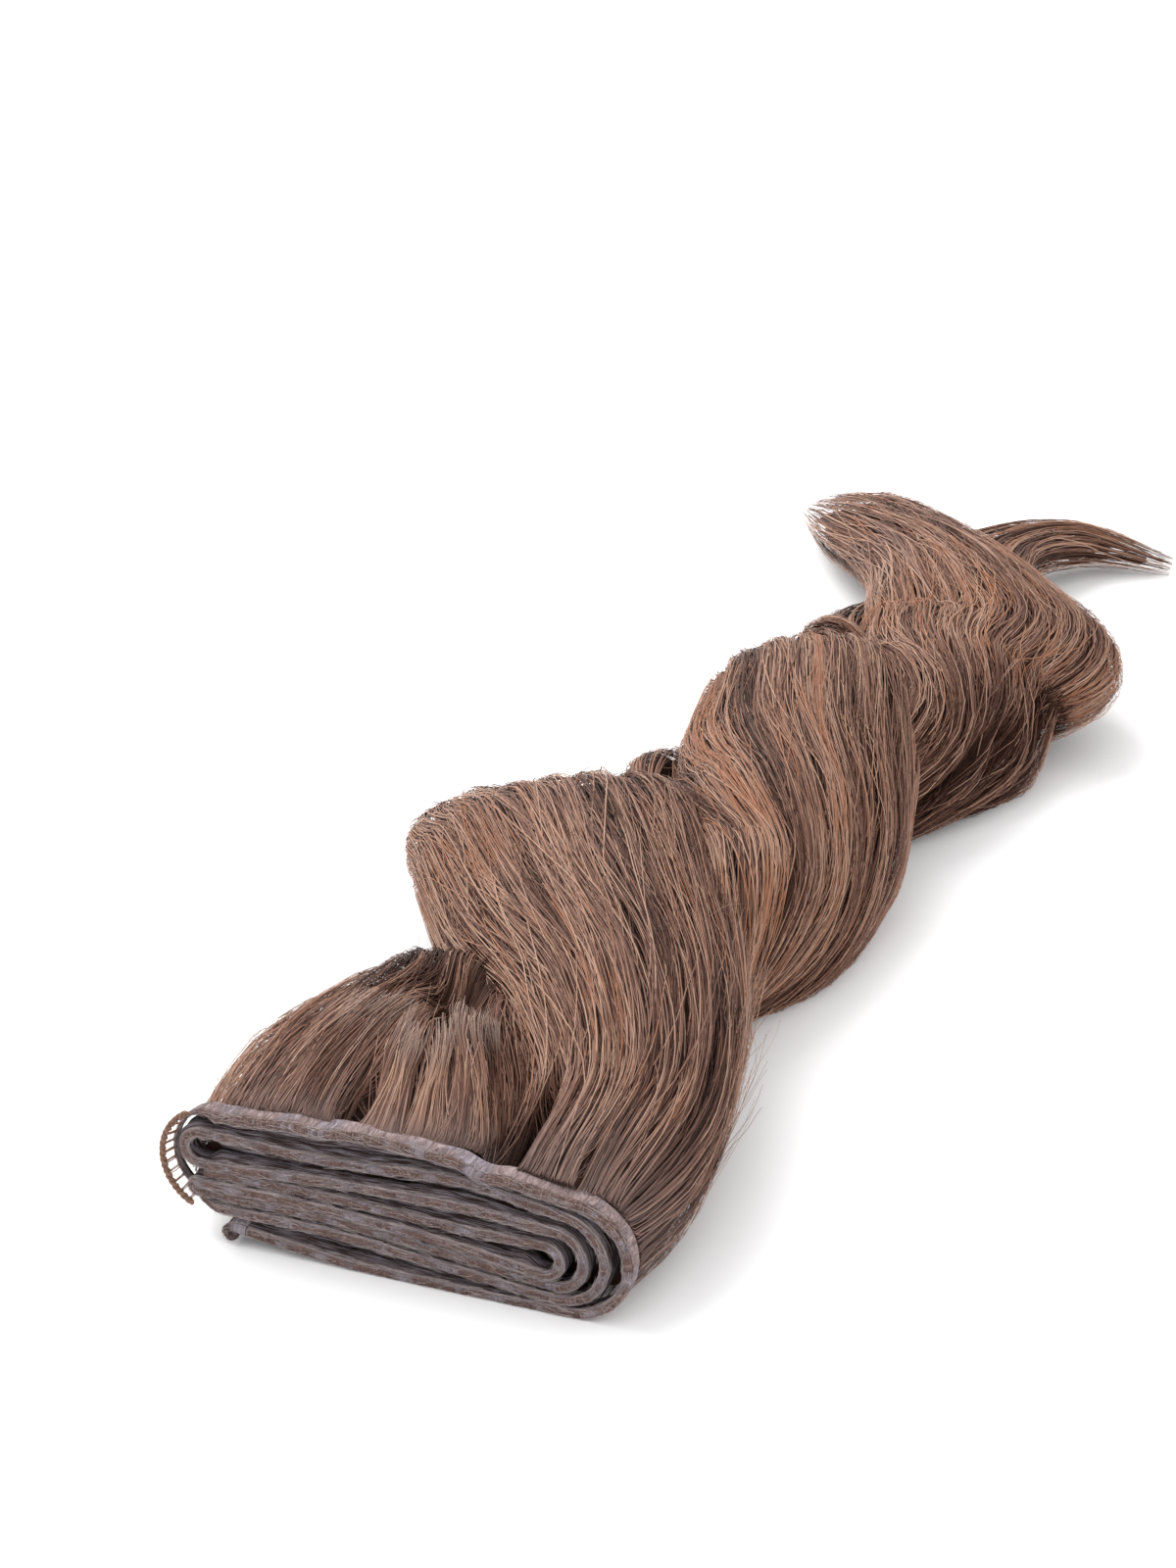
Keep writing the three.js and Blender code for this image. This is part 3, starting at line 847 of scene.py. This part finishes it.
hair = {
    "fullness": 0.72,  # 1 is an oval section, less is boxier
    "lockEdges": (-0.74, -0.42, -0.16, 0.18, 0.42, 0.76),
    "lockDip": 0.6,  # depth of the grooves between locks
    "lockDrift": 0.05,
    "coreLift": -1.2,  # the hair's depth under the single strands
    "clumps": 84,  # in each of the two large swaths
    "slackClumps": 40,
    "stripes": (0.06, 0.28, 0.06),  # light and dark bands of the three swaths' clumps
    "clumpPull": 0.7,  # how far hairs are drawn to the middle of their clump
    "clumpSwell": 0.35,
    "gridSides": 80,  # parts of the section that strands are spread over
    "crossing": 0.34,  # share of the hairs that run across their neighbours
    "crossingSlope": 0.028,  # how far round the section those run for each table row
    "strandLength": (22, 58),
    "steps": 16,  # points along one strand
    "width": 0.125,  # of one strand
    "upperStart": 0.145,  # table row where hair leaves over the roll
    "lowerStart": 0.17,  # table row where hair leaves behind the roll
    "rootFold": (21.75, 7.8, 7.6),  # x and z of the middle of the roll's right fold, and its reach
    "rootOver": 2.7,  # where hair over the roll leaves the band
    "rootBehind": 0.15,  # gap between the band and the hair behind it
    "gather": 0.75,  # how far the hairs over the roll draw together
    # Table rows and places around of the over swath's edge, which lies free over the hollow
    "crossingEdge": (1.4, 3.2, 0.36, 0.52),
    "lean": 0.016,  # how far round the section the hairs of the first crossing run for each table row
    "floorGap": 0.06,
    "seed": 21,
}
strandTones = {
    "middle": 0.56,
    "spread": 0.16,
    "byLevel": 0.75,  # deeper hairs are darker: painted shade
    # Hairs at a clump's edge and in the grooves between locks are darker: painted shade
    "clumpEdge": 0.14,
    "groove": 0.22,
    "least": 0.13,
    "golden": 0.09,  # share of tan and copper hairs
    "goldTones": (0.86, 1.0),
    "gloom": 0.88,  # painted shade: how much darker hair is in the hollows and slots
}
# Dark slots in the hair close behind the roll, their hair also darkened by painted shade: x, how far they run
# back, half their width, depth
rootSlots = [(-7.6, 16, 1.5, 4.0), (12.2, 24, 1.8, 6.5)]
# Hollows of the two swaths, their hair darkened by painted shade where they are deep: table row, place
# around, their reach in rows and around, depth
overHollows = [
    (8.5, 0.26, 0.35, 0.018, 2.5),
    (9.2, 0.24, 0.35, 0.02, 3.5),
    (9.8, 0.18, 0.35, 0.02, 3.5),
    (10.4, 0.11, 0.35, 0.02, 3.0),
]
underHollows = [
    (1.68, 0.195, 0.24, 0.045, 7.5),
    (1.35, 0.165, 0.2, 0.03, 5.0),
    (1.05, 0.14, 0.18, 0.022, 2.5),
    (2.2, 0.1, 0.36, 0.08, 5.0),
    (2.05, 0.31, 0.28, 0.06, -1.6),
]
# Painted shade, painted highlights and other darker and lighter parts of the swaths: table rows from and to,
# place around and half width, change of tone
overTones = [
    (0.0, 2.2, 0.01, 0.13, -0.1),
    # Painted highlight on the lit side of the over swath
    (3.0, 5.0, 0.45, 0.13, 0.14),
    # Painted shade on the part of the over swath that lies beneath its overhang
    (6.5, 10.2, 0.1, 0.3, -0.2),
    # Painted highlight on the top of the over swath's last fold
    (10.8, 14.0, 0.25, 0.25, 0.22),
]
underTones = [
    # Painted shade on the under swath where it runs under the over swath behind the roll
    (0.7, 2.6, 0.25, 0.3, -0.2),
    # Painted shade at the under swath's crest, beside the hollow
    (1.3, 2.6, 0.3, 0.12, -0.06),
    (5.0, 8.6, 0.25, 0.25, 0.06),
    (11.0, 15.0, 0.25, 0.6, -0.08),
]


# The two numbers u and v of a section, from -1 to 1, at places around it from 0 to 1
def sectionAt(around):
    def corner(values):
        return np.sign(values) * np.abs(values) ** hair["fullness"]

    angles = np.linspace(0, 2 * math.pi, 721)
    middling = np.stack([16 * corner(np.cos(angles)), 8 * corner(np.sin(angles))], -1)
    length = travel(middling)
    angle = np.interp(np.mod(around, 1.0), length / length[-1], angles)
    return corner(np.cos(angle)), corner(np.sin(angle))


# How far places around are from one side of the section, from -0.5 to 0.5
def turnedFrom(side, around):
    return np.mod(around - side + 0.5, 1.0) - 0.5


def swathFrame(rows, t):
    row = smoothRows(rows, t)
    along = unit(smoothRows(rows, t + 0.02)[..., :3] - smoothRows(rows, t - 0.02)[..., :3])
    up = unit(np.array((0, 0, 1.0)) - along * along[..., 2:3])
    right = np.cross(along, up)
    roll = np.radians(row[..., 5:6])
    face = up * np.cos(roll) - right * np.sin(roll)
    return row, along, np.cross(along, face), face


def lockDip(u, t):
    dip = 0
    for number, edge in enumerate(hair["lockEdges"]):
        middle = edge + hair["lockDrift"] * np.sin(1.3 * t + 1.7 * number)
        dip = dip + np.exp(-(((u - middle) / 0.05) ** 2))
    return hair["lockDip"] * dip


# Hair leaves over the top of the roll, and opens at the dark slots.
def openRoots(points, t, v, lift):
    rooted = (1 - ease(0.1, 0.45, t)) * ease(0.1, 0.6, v)
    free = ease(hair["rootOver"], hair["rootOver"] + 3.5, points[..., 1])
    top = layerHeight(1, points[..., 0]) + band["wall"] / 2 - 0.12 + free * (0.25 + lift * 0.5)
    points[..., 2] += rooted * (top - points[..., 2])
    # At the right the roots follow the roll's outer fold.
    foldX, foldZ, foldReach = hair["rootFold"]
    awayX = np.maximum(points[..., 0] - foldX, 0)
    awayZ = np.where(awayX > 0, points[..., 2] - foldZ, 0.0)
    far = np.maximum(np.hypot(awayX, awayZ), 0.001)
    pull = (1 - ease(0.15, 0.7, t)) * np.maximum(1 - (foldReach + 0.5 * lift) / far, 0)
    points[..., 0] -= pull * awayX
    points[..., 2] -= pull * awayZ
    overRoll = points[..., 2] > layerHeight(1, points[..., 0]) + 0.2
    behind = np.where(overRoll, hair["rootOver"], band["depth"] + hair["rootBehind"])
    points[..., 1] = np.maximum(points[..., 1], behind)
    for slotX, slotEnd, half, depth in rootSlots:
        away = points[..., 0] - slotX
        opening = ease(1.5, 5, points[..., 1]) * (1 - ease(slotEnd * 0.4, slotEnd, points[..., 1]))
        opening = opening * ease(9, 13, points[..., 2])
        points[..., 2] -= depth * np.exp(-((away / (0.7 * half)) ** 2)) * opening
        points[..., 0] += np.sign(away) * half * np.exp(-np.abs(away) / 1.6) * opening
    return points


# The share of a hollow, from 0 to 1, at table row t and a place around
def hollowShare(hollow, t, around):
    middle, side, reach, width, depth = hollow
    return np.exp(-(((t - middle) / reach) ** 2) - (turnedFrom(side, around) / width) ** 2)


def hollowsOf(rows):
    return overHollows if rows is overSwath else underHollows if rows is underSwath else []


# How much darker or lighter hair is at table row t and a place around, with painted shade and painted
# highlights
def toneAt(rows, t, around):
    shift = np.zeros(np.shape(t))
    blend = 0.3
    rim = 0.03
    for first, last, side, width, change in overTones if rows is overSwath else underTones:
        away = np.abs(turnedFrom(side, around))
        within = ease(first - blend, first + blend, t) * (1 - ease(last - blend, last + blend, t))
        shift = shift + change * within * (1 - ease(width - rim, width + rim, away))
    return shift


# How much painted shade darkens hair in the hollows and slots, from 0 to 1
def gloomAt(rows, t, around, points):
    gloom = np.zeros(np.shape(t))
    for hollow in hollowsOf(rows):
        gloom = gloom + hollowShare(hollow, t, around) * min(max(hollow[4] / 3, 0), 1)
    for slotX, slotEnd, half, depth in rootSlots:
        near = np.exp(-(((points[..., 0] - slotX) / half) ** 2))
        gloom = gloom + near * (1 - ease(slotEnd * 0.4, slotEnd, points[..., 1])) * (points[..., 2] > 9)
    return np.minimum(1.5 * gloom, 1)


# The upper hairs of the under swath draw together at the hollow behind the roll.
def gathered(t, around):
    middle, side = underHollows[0][:2]
    off = turnedFrom(side, around)
    near = np.maximum(1 - (off / 0.26) ** 2, 0)
    drawn = ease(0.1, middle, t) * (1 - ease(middle + 0.1, middle + 1.0, t))
    return around - hair["gather"] * off * near * drawn


# Points on a swath: table row t, place around its section, lift off its surface, share of the hollows
def swathPoints(rows, t, around, lift, hollow=1.0):
    if rows is underSwath:
        around = gathered(t, around)
    u, v = sectionAt(around)
    row, along, side, face = swathFrame(rows, t)
    lift = lift - hollow * lockDip(u, t) * (0.4 + 0.6 * np.abs(v)) * ease(0, 8, row[..., 4])
    for place in hollowsOf(rows):
        lift = lift - hollow * place[4] * hollowShare(place, t, around)
    sideways = (row[..., 3] / 2 + lift) * u
    upwards = (row[..., 4] / 2 + lift) * v - row[..., 6] * u * u
    points = row[..., :3] + side * sideways[..., None] + face * upwards[..., None]
    if rows is not slackSwath:
        points = openRoots(points, t, v, lift)
    points[..., 2] = np.maximum(points[..., 2], hair["floorGap"])
    return points


# Directions out of a swath at the same places
def outwardAt(rows, t, around, lift, points, hollow=1.0):
    return unit(swathPoints(rows, t, around, lift + 0.6, hollow) - points + np.array((0, 0, 0.0001)))


# True where points lie within a swath
def insideSwath(rows, points):
    t = np.linspace(0, len(rows) - 1, 160)
    row, along, side, face = swathFrame(rows, t)
    nearest = ((points[:, None] - row[None, :, :3]) ** 2).sum(-1).argmin(1)
    away = points - row[nearest, :3]
    u = (away * side[nearest]).sum(-1) / (row[nearest, 3] / 2)
    v = ((away * face[nearest]).sum(-1) + row[nearest, 6] * u * u) / (row[nearest, 4] / 2)
    beyond = np.abs((away * along[nearest]).sum(-1)) > 3
    return (np.abs(u) ** 2.7 + np.abs(v) ** 2.7 < 1) & ~beyond


# Length of the swath for each table row, near row t
def rowLength(rows, t):
    step = smoothRows(rows, t + 0.1)[..., :3] - smoothRows(rows, t - 0.1)[..., :3]
    return np.maximum(np.linalg.norm(step, axis=-1) / 0.2, 6)


# Table rows from start to end, closer together where the swath bends
def bentRows(rows, start, end, share):
    places = np.linspace(0.05, len(rows) - 1, 400)
    t, around = np.broadcast_arrays(places, np.arange(24)[:, None] / 24)
    steps = np.diff(swathPoints(rows, t, around, np.zeros(t.shape)), axis=1)
    way = unit(steps + np.array((0, 0.0001, 0)))
    turn = np.arccos(np.clip((way[:, 1:] * way[:, :-1]).sum(-1), -1, 1))
    # One step for each 4 mm and one for each 0.2 radians of turn
    cost = np.linalg.norm(steps, axis=-1).mean(0)[1:] / 4 + np.percentile(turn, 75, axis=0) / 0.2
    cost = np.concatenate([[0], np.cumsum(cost)])[:-1]
    places = places[1:-1]
    first, last = np.interp(start, places, cost), np.interp(end, places, cost)
    return np.interp(first + (last - first) * share, cost, places)


# How much each part of a swath can be seen: a grid over around and t
def openFaces(rows):
    sides = (np.arange(hair["gridSides"]) + 0.5) / hair["gridSides"]
    around, t = np.meshgrid(sides, np.linspace(0.1, len(rows) - 1, 150), indexing="ij")
    points = swathPoints(rows, t, around, np.full(t.shape, 0.5)).reshape(-1, 3)
    hidden = np.zeros(len(points), bool)
    for other in swaths:
        if other is not rows:
            hidden |= insideSwath(other, points)
    outside = swathPoints(rows, t, around, np.full(t.shape, 1.5)).reshape(-1, 3)
    upward = unit(outside - points)[:, 2]
    t, around = t.reshape(-1), around.reshape(-1)
    if rows is overSwath:
        first, last, sideFrom, sideTo = hair["crossingEdge"]
        hidden &= (t < first) | (t > last) | (around < sideFrom) | (around > sideTo)
    weight = np.where(hidden | (points[:, 2] < 0.5), 0.0, 0.45 + 0.55 * ease(-0.6, 0.4, upward))
    row = smoothRows(rows, t)
    return around, t, weight * (row[:, 3] + row[:, 4]) * rowLength(rows, t)


def makeClumps(rng, count, striped):
    widths = rng.lognormal(0, 0.6, count)
    edges = np.concatenate([[0], np.cumsum(widths) / widths.sum()])
    waves = rng.integers(3, 12, 4)
    turns = rng.uniform(0, 2 * math.pi, 4)
    middle = (edges[1:] + edges[:-1]) / 2
    stripes = sum(np.sin(2 * math.pi * wave * middle + turn) for wave, turn in zip(waves, turns)) / 2
    return {
        "edges": edges,
        "middle": middle,
        "half": np.diff(edges) / 2,
        "rate": rng.uniform(0.5, 1.4, (count, 2)),
        "phase": rng.uniform(0, 2 * math.pi, (count, 2)),
        "tone": striped * stripes + rng.normal(0, 0.07, count),
        "rise": rng.uniform(-0.25, 0.2, count),
    }


# Where a clump's middle runs, and how tightly it draws its hairs, at table row t
def clumpAt(clumps, number, t):
    rate, phase = clumps["rate"][number], clumps["phase"][number]
    drift = np.sin(rate[:, :1] * t + phase[:, :1])
    draw = 0.5 + 0.5 * np.sin(rate[:, 1:] * 2 * t + phase[:, 1:])
    middle = clumps["middle"][number][:, None] + 0.4 * clumps["half"][number][:, None] * drift
    return middle, hair["clumpPull"] * draw


def growStrands(rows, clumps, count, rng):
    last = len(rows) - 1
    around, t, weight = openFaces(rows)
    picked = rng.choice(len(t), count, p=weight / weight.sum())
    place = np.mod(around[picked] + rng.uniform(-0.5, 0.5, count) / hair["gridSides"], 1)
    middle = t[picked] + rng.uniform(-0.05, 0.05, count)
    length = rng.uniform(*hair["strandLength"], count) / rowLength(rows, middle)
    u, v = sectionAt(place)
    rootStart = np.where(v > 0.3, hair["upperStart"], hair["lowerStart"]) + rng.uniform(0, 0.03, count)
    start = np.maximum(middle - length / 2, rootStart)
    end = np.minimum(middle + length / 2, last - rng.uniform(0, 1, count) ** 2 * 0.9)
    start = np.minimum(start, end - 0.3)
    share = np.linspace(0, 1, hair["steps"])[None, :]
    row = bentRows(rows, start[:, None], end[:, None], share)
    number = np.clip(np.searchsorted(clumps["edges"], place) - 1, 0, len(clumps["middle"]) - 1)
    crossing = rng.uniform(0, 1, count) < hair["crossing"]
    clumpMiddle, pull = clumpAt(clumps, number, row)
    half = clumps["half"][number]
    off = place - clumps["middle"][number]
    own = (off / half)[:, None] * (1 - pull * ~crossing[:, None])
    slope = rng.normal(0, hair["crossingSlope"], count) * np.where(crossing, 1, 0.3)
    if rows is overSwath:
        slope = slope + hair["lean"] * ease(0.6, 1.4, middle) * (1 - ease(4, 5, middle)) * (v > 0)
    strandAround = clumpMiddle + half[:, None] * own + slope[:, None] * (row - middle[:, None])
    strandAround = strandAround + waver(rng, count, row, 0.2) * 0.0025
    level = rng.uniform(-0.5, 0.3, count) + np.where(crossing, 0.22, 0.0)
    swell = hair["clumpSwell"] * (1 - np.minimum(own ** 2, 1.3))
    lift = level[:, None] + clumps["rise"][number][:, None] + swell
    lift = lift + waver(rng, count, row, 0.3) * 0.12
    # Both ends of a strand run under its neighbours, except at the roots and tips.
    dive = np.where(start > rootStart + 0.01, 1.0, 0.0)[:, None] * (1 - ease(0, 0.16, share))
    dive = dive + np.where(end < last - 0.95, 1.0, 0.0)[:, None] * ease(0.84, 1, share)
    paths = swathPoints(rows, row, strandAround, lift - dive)
    outward = outwardAt(rows, row, strandAround, lift - dive, paths)
    taper = 1 - 0.6 * ease(0.8, 1, share) * (end > last - 0.95)[:, None]
    widths = hair["width"] * rng.uniform(0.7, 1.3, (count, 1)) * taper
    tones = strandTones["middle"] + clumps["tone"][number] + rng.normal(0, strandTones["spread"], count)
    # Deeper hairs, hairs at a clump's edge and hairs in the grooves between locks are darker: painted shade
    tones = tones + strandTones["byLevel"] * level
    tones = tones - strandTones["clumpEdge"] * np.minimum(np.abs(off) / half, 1) ** 2
    tones = tones - strandTones["groove"] * lockDip(u, middle) / hair["lockDip"]
    # Painted shade and painted highlights from the tone tables
    shift = toneAt(rows, row, strandAround)
    golden = rng.uniform(0, 1, count) < strandTones["golden"] * (1 + 4 * np.minimum(shift.mean(1), 0))
    gold = rng.uniform(*strandTones["goldTones"], (count, 1))
    tones = np.where(golden[:, None], gold, np.maximum(tones[:, None] + shift, strandTones["least"]))
    # Painted shade in the hollows and slots
    tones = tones * (1 - strandTones["gloom"] * gloomAt(rows, row, strandAround, paths))
    return ridges(paths, outward, widths, np.clip(tones, 0.02, 0.995), row / last)


# The mass of hair under the strands, closed a little before the tips
def growCore(rows, alongSteps, aroundSteps, start):
    end = len(rows) - 1.35
    around = np.arange(aroundSteps) / aroundSteps
    tGrid, aroundGrid = np.meshgrid(np.linspace(start, end, alongSteps), around)
    row = smoothRows(rows, tGrid)
    closing = ease(end - 1.25, end, tGrid)
    lifts = hair["coreLift"] - closing * (np.minimum(row[..., 3], row[..., 4]) / 2 - 1) * 0.7
    rings = swathPoints(rows, tGrid, aroundGrid, np.minimum(lifts, -0.3))
    flow = np.stack([aroundGrid, tGrid / 12], -1)
    return skin(rings.transpose(1, 0, 2), flow.transpose(1, 0, 2))


rng = np.random.default_rng(hair["seed"])
clumpCounts = (hair["clumps"], hair["clumps"], hair["slackClumps"])
overClumps, underClumps, slackClumps = [
    makeClumps(rng, count, striped) for count, striped in zip(clumpCounts, hair["stripes"])
]
core = joined([
    growCore(overSwath, 120, 130, 0.25),
    growCore(underSwath, 120, 130, 0.25),
    growCore(slackSwath, 40, 80, 0.0),
])
corePiece = makeMesh("hair_depth", *core, coreLook, "hair")
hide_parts("hair_fall")
# Name, swath, its clumps and how many strands; the two large swaths have two pieces each
strandPieces = [
    ("over_strands_a", overSwath, overClumps, 2900),
    ("over_strands_b", overSwath, overClumps, 2900),
    ("under_strands_a", underSwath, underClumps, 2700),
    ("under_strands_b", underSwath, underClumps, 2700),
    ("slack_strands", slackSwath, slackClumps, 260),
]
for name, rows, clumps, count in strandPieces:
    makeMesh(name, *growStrands(rows, clumps, count, rng), strandLook, "hair")

# Short hairs over the roll in tufts, with pale free tips around the hollow where the swaths cross
tufts = {
    "groups": 16,
    "hairs": 34,  # in each group
    "sides": (0.05, 0.38),  # around the section
    # Place around the section, and the table row where the tips are there
    "reach": [(0.1, 1.55), (0.15, 1.05), (0.22, 1.05), (0.28, 1.4)],
    "width": 0.02,  # half a tuft, around the section
    "rise": (0.3, 1.2),
    "gather": 0.1,
    "gatherTo": 0.19,  # place around that they draw to
    "hollow": 0.15,  # share of the hollows that they follow
    "thickness": 0.12,
    "tone": 0.54,
    "toneSpread": (0.15, 0.16),  # from tuft to tuft, and from hair to hair
    "steps": 16,
    "seed": 31,
}


def makeTufts():
    rng = np.random.default_rng(tufts["seed"])
    groups, hairs = tufts["groups"], tufts["hairs"]
    count = groups * hairs
    group = np.repeat(np.arange(groups), hairs)
    groupPlace = np.linspace(*tufts["sides"], groups) + rng.normal(0, 0.006, groups)
    nearness = np.exp(-(((groupPlace - tufts["gatherTo"]) / 0.1) ** 2))
    groupEnd = np.interp(groupPlace, *zip(*tufts["reach"])) * rng.uniform(0.8, 1.0, groups)
    groupRise = rng.uniform(*tufts["rise"], groups) * (0.4 + 0.6 * nearness)
    share = np.linspace(0, 1, tufts["steps"])[None, :]
    own = rng.normal(0, 0.6, (count, 1))
    end = np.maximum(groupEnd[group] - np.abs(rng.normal(0, 0.12, count)), 0.8)[:, None]
    start = hair["upperStart"] + rng.uniform(0, 0.03, (count, 1))
    row = start + (end - start) * share
    # A tuft is broad at the roll, narrow beyond its middle and splayed at its tips.
    spread = tufts["width"] * (1 - 0.55 * ease(0.1, 0.7, share) + 0.3 * ease(0.75, 1, share))
    gather = (tufts["gather"] * rng.uniform(0.5, 1.5, groups))[group][:, None]
    middle = groupPlace[group][:, None]
    middle = middle + (tufts["gatherTo"] - middle) * gather * share ** 1.5
    middle = middle + (waver(rng, groups, share, 0.6) * 0.012)[group] * share
    around = middle + own * spread + rng.normal(0, 0.006, (count, 1)) * share ** 3
    arch = groupRise[group][:, None] * share ** 1.8
    lift = 0.25 + rng.uniform(-0.25, 0.25, (count, 1)) + arch * (1 - 0.35 * np.abs(own))
    lift = lift + rng.normal(0, 0.5, (count, 1)) * share ** 4 - 0.5 * (1 - ease(0, 0.1, share))
    paths = swathPoints(underSwath, row, around, lift, tufts["hollow"])
    outward = outwardAt(underSwath, row, around, lift, paths, tufts["hollow"])
    widths = tufts["thickness"] * rng.uniform(0.7, 1.3, (count, 1)) * (1 - 0.5 * ease(0.7, 1, share))
    byGroup, byHair = tufts["toneSpread"]
    tones = tufts["tone"] + rng.normal(0, byGroup, groups)[group] + rng.normal(0, byHair, count)
    return ridges(paths, outward, widths, np.clip(tones, 0.05, 0.9), share)


makeMesh("root_tufts", *makeTufts(), tipLook, "hair")

# Single hairs that stand off the rest
flyaways = {"thickness": 0.1, "tones": (0.55, 0.98), "drift": 0.03, "steps": 12, "seed": 44}
# Swath, table rows from and to, around from and to, how many, length and how far they stand off
flyawayPlaces = [
    (overSwath, 0.5, 2.6, -0.06, 0.05, 120, 26, 4.0),
    (overSwath, 1.4, 3.2, 0.03, 0.45, 150, 24, 1.8),
    (overSwath, 2.2, 3.6, -0.02, 0.08, 70, 24, 5.0),
    (underSwath, 0.3, 1.7, 0.36, 0.52, 90, 20, 2.2),
    (underSwath, 0.9, 1.3, 0.16, 0.34, 40, 9, 3.0),
    (underSwath, 5.4, 8.2, 0.02, 0.46, 70, 24, 1.8),
    (overSwath, 11.2, 15.5, 0.02, 0.48, 60, 24, 1.8),
    (underSwath, 11.0, 14.0, 0.0, 1.0, 30, 18, 1.6),
]


def makeFlyaways():
    rng = np.random.default_rng(flyaways["seed"])
    share = np.linspace(0, 1, flyaways["steps"])[None, :]
    pieces = []
    for rows, first, last, sideFrom, sideTo, count, reach, standOff in flyawayPlaces:
        start = rng.uniform(first, last, (count, 1))
        length = reach * rng.uniform(0.5, 1.4, (count, 1)) / rowLength(rows, start)
        row = bentRows(rows, start, np.minimum(start + length, len(rows) - 1.02), share)
        around = rng.uniform(sideFrom, sideTo, (count, 1))
        around = around + rng.normal(0, flyaways["drift"], (count, 1)) * share ** 1.5
        away = standOff * rng.uniform(0.15, 1, (count, 1)) ** 2
        lift = 0.1 + away * (share ** 1.5) + waver(rng, count, share, 0.7) * away * 0.18 * share
        paths = swathPoints(rows, row, around, lift)
        radii = flyaways["thickness"] / 2 * rng.uniform(0.7, 1.2, (count, 1)) * (1 - 0.5 * share)
        pieces.append(tubes(paths, radii, rng.uniform(*flyaways["tones"], count)))
    return joined(pieces)


makeMesh("flyaway_hairs", *makeFlyaways(), strandLook, "hair")

# The surface, light and camera

floor = {
    "size": 4.0,
    "drop": 0.00005,
    "tints": {"A": (0.93, 0.93, 0.93, 1.0), "B": (0.91, 0.91, 0.92, 1.0)},
}
floorFinish = {"Roughness": 0.6, "Specular IOR Level": 0.1}
floorMaterial, floorTree, floorShader = newMaterial("paleTable", floorFinish)
floorNoise = addNode(floorTree, "ShaderNodeTexNoise", {"Scale": 3.0, "Detail": 2.0})
floorMix = addMix(floorTree, floor["tints"])
wire(
    floorTree,
    (floorNoise, "Fac", floorMix, "Factor"),
    (floorMix, "Result", floorShader, "Base Color"),
)
half = floor["size"] / 2
floorMesh = bpy.data.meshes.new("table")
corners = [(-half, -half, 0), (half, -half, 0), (half, half, 0), (-half, half, 0)]
floorMesh.from_pydata(corners, [], [(0, 1, 2, 3)])
floorMesh.materials.append(floorMaterial)
floorPiece = bpy.data.objects.new("table", floorMesh)
floorPiece.location.z = -floor["drop"]
bpy.context.scene.collection.objects.link(floorPiece)

light = {
    "sky": 1.2,
    "lamps": [
        {"name": "keyLight", "place": (-0.6, 0.2, 0.75), "power": 10.0, "size": 0.9, "target": (0, -0.03, 0)},
        {"name": "fillLight", "place": (0.6, -0.5, 0.5), "power": 1.0, "size": 0.6, "target": (0, -0.05, 0)},
    ],
}
world = bpy.data.worlds.new("softRoom")
world.use_nodes = True
sky = world.node_tree.nodes["Background"]
sky.inputs["Color"].default_value = (1.0, 1.0, 1.0, 1.0)
sky.inputs["Strength"].default_value = light["sky"]
bpy.context.scene.world = world


def addLight(name, place, power, size, target):
    lamp = bpy.data.lights.new(name, "AREA")
    lamp.energy = power
    lamp.size = size
    holder = bpy.data.objects.new(name, lamp)
    holder.location = place
    holder.rotation_euler = (Vector(target) - Vector(place)).to_track_quat("-Z", "Y").to_euler()
    bpy.context.scene.collection.objects.link(holder)


for lamp in light["lamps"]:
    addLight(**lamp)

# The camera looks along the hair from the roll's side, to the photo's proportions.
shot = {
    "pitch": 26,
    "yaw": 22,
    "focal": 5200,  # in pixels of the frame
    "frame": (1200, 1600),
    "anchor": (0, 0, 9),  # this point of the roll is seen at anchorPixel
    "anchorPixel": (402, 1240),
    "distance": 598,
    "sensor": 36,
    "clip": (0.01, 20),
}


def addCamera():
    pitch, yaw = math.radians(shot["pitch"]), math.radians(shot["yaw"])
    level = math.cos(pitch)
    forward = Vector((-math.sin(yaw) * level, math.cos(yaw) * level, -math.sin(pitch)))
    right = Vector((math.cos(yaw), math.sin(yaw), 0))
    up = right.cross(forward)
    width, height = shot["frame"]
    offX = (shot["anchorPixel"][0] - width / 2) / shot["focal"]
    offY = (shot["anchorPixel"][1] - height / 2) / shot["focal"]
    ray = (forward + right * offX - up * offY).normalized()
    lens = bpy.data.cameras.new("camera")
    lens.sensor_width = shot["sensor"]
    lens.lens = shot["sensor"] * shot["focal"] / max(width, height)
    lens.clip_start, lens.clip_end = shot["clip"]
    holder = bpy.data.objects.new("camera", lens)
    holder.matrix_world = Matrix((right, up, -forward)).transposed().to_4x4()
    holder.location = Vector(toMetres(shot["anchor"])) - ray * shot["distance"] * millimetre
    bpy.context.scene.collection.objects.link(holder)
    bpy.context.scene.camera = holder


addCamera()
bpy.context.scene.view_settings.view_transform = "Standard"
print("stage made")
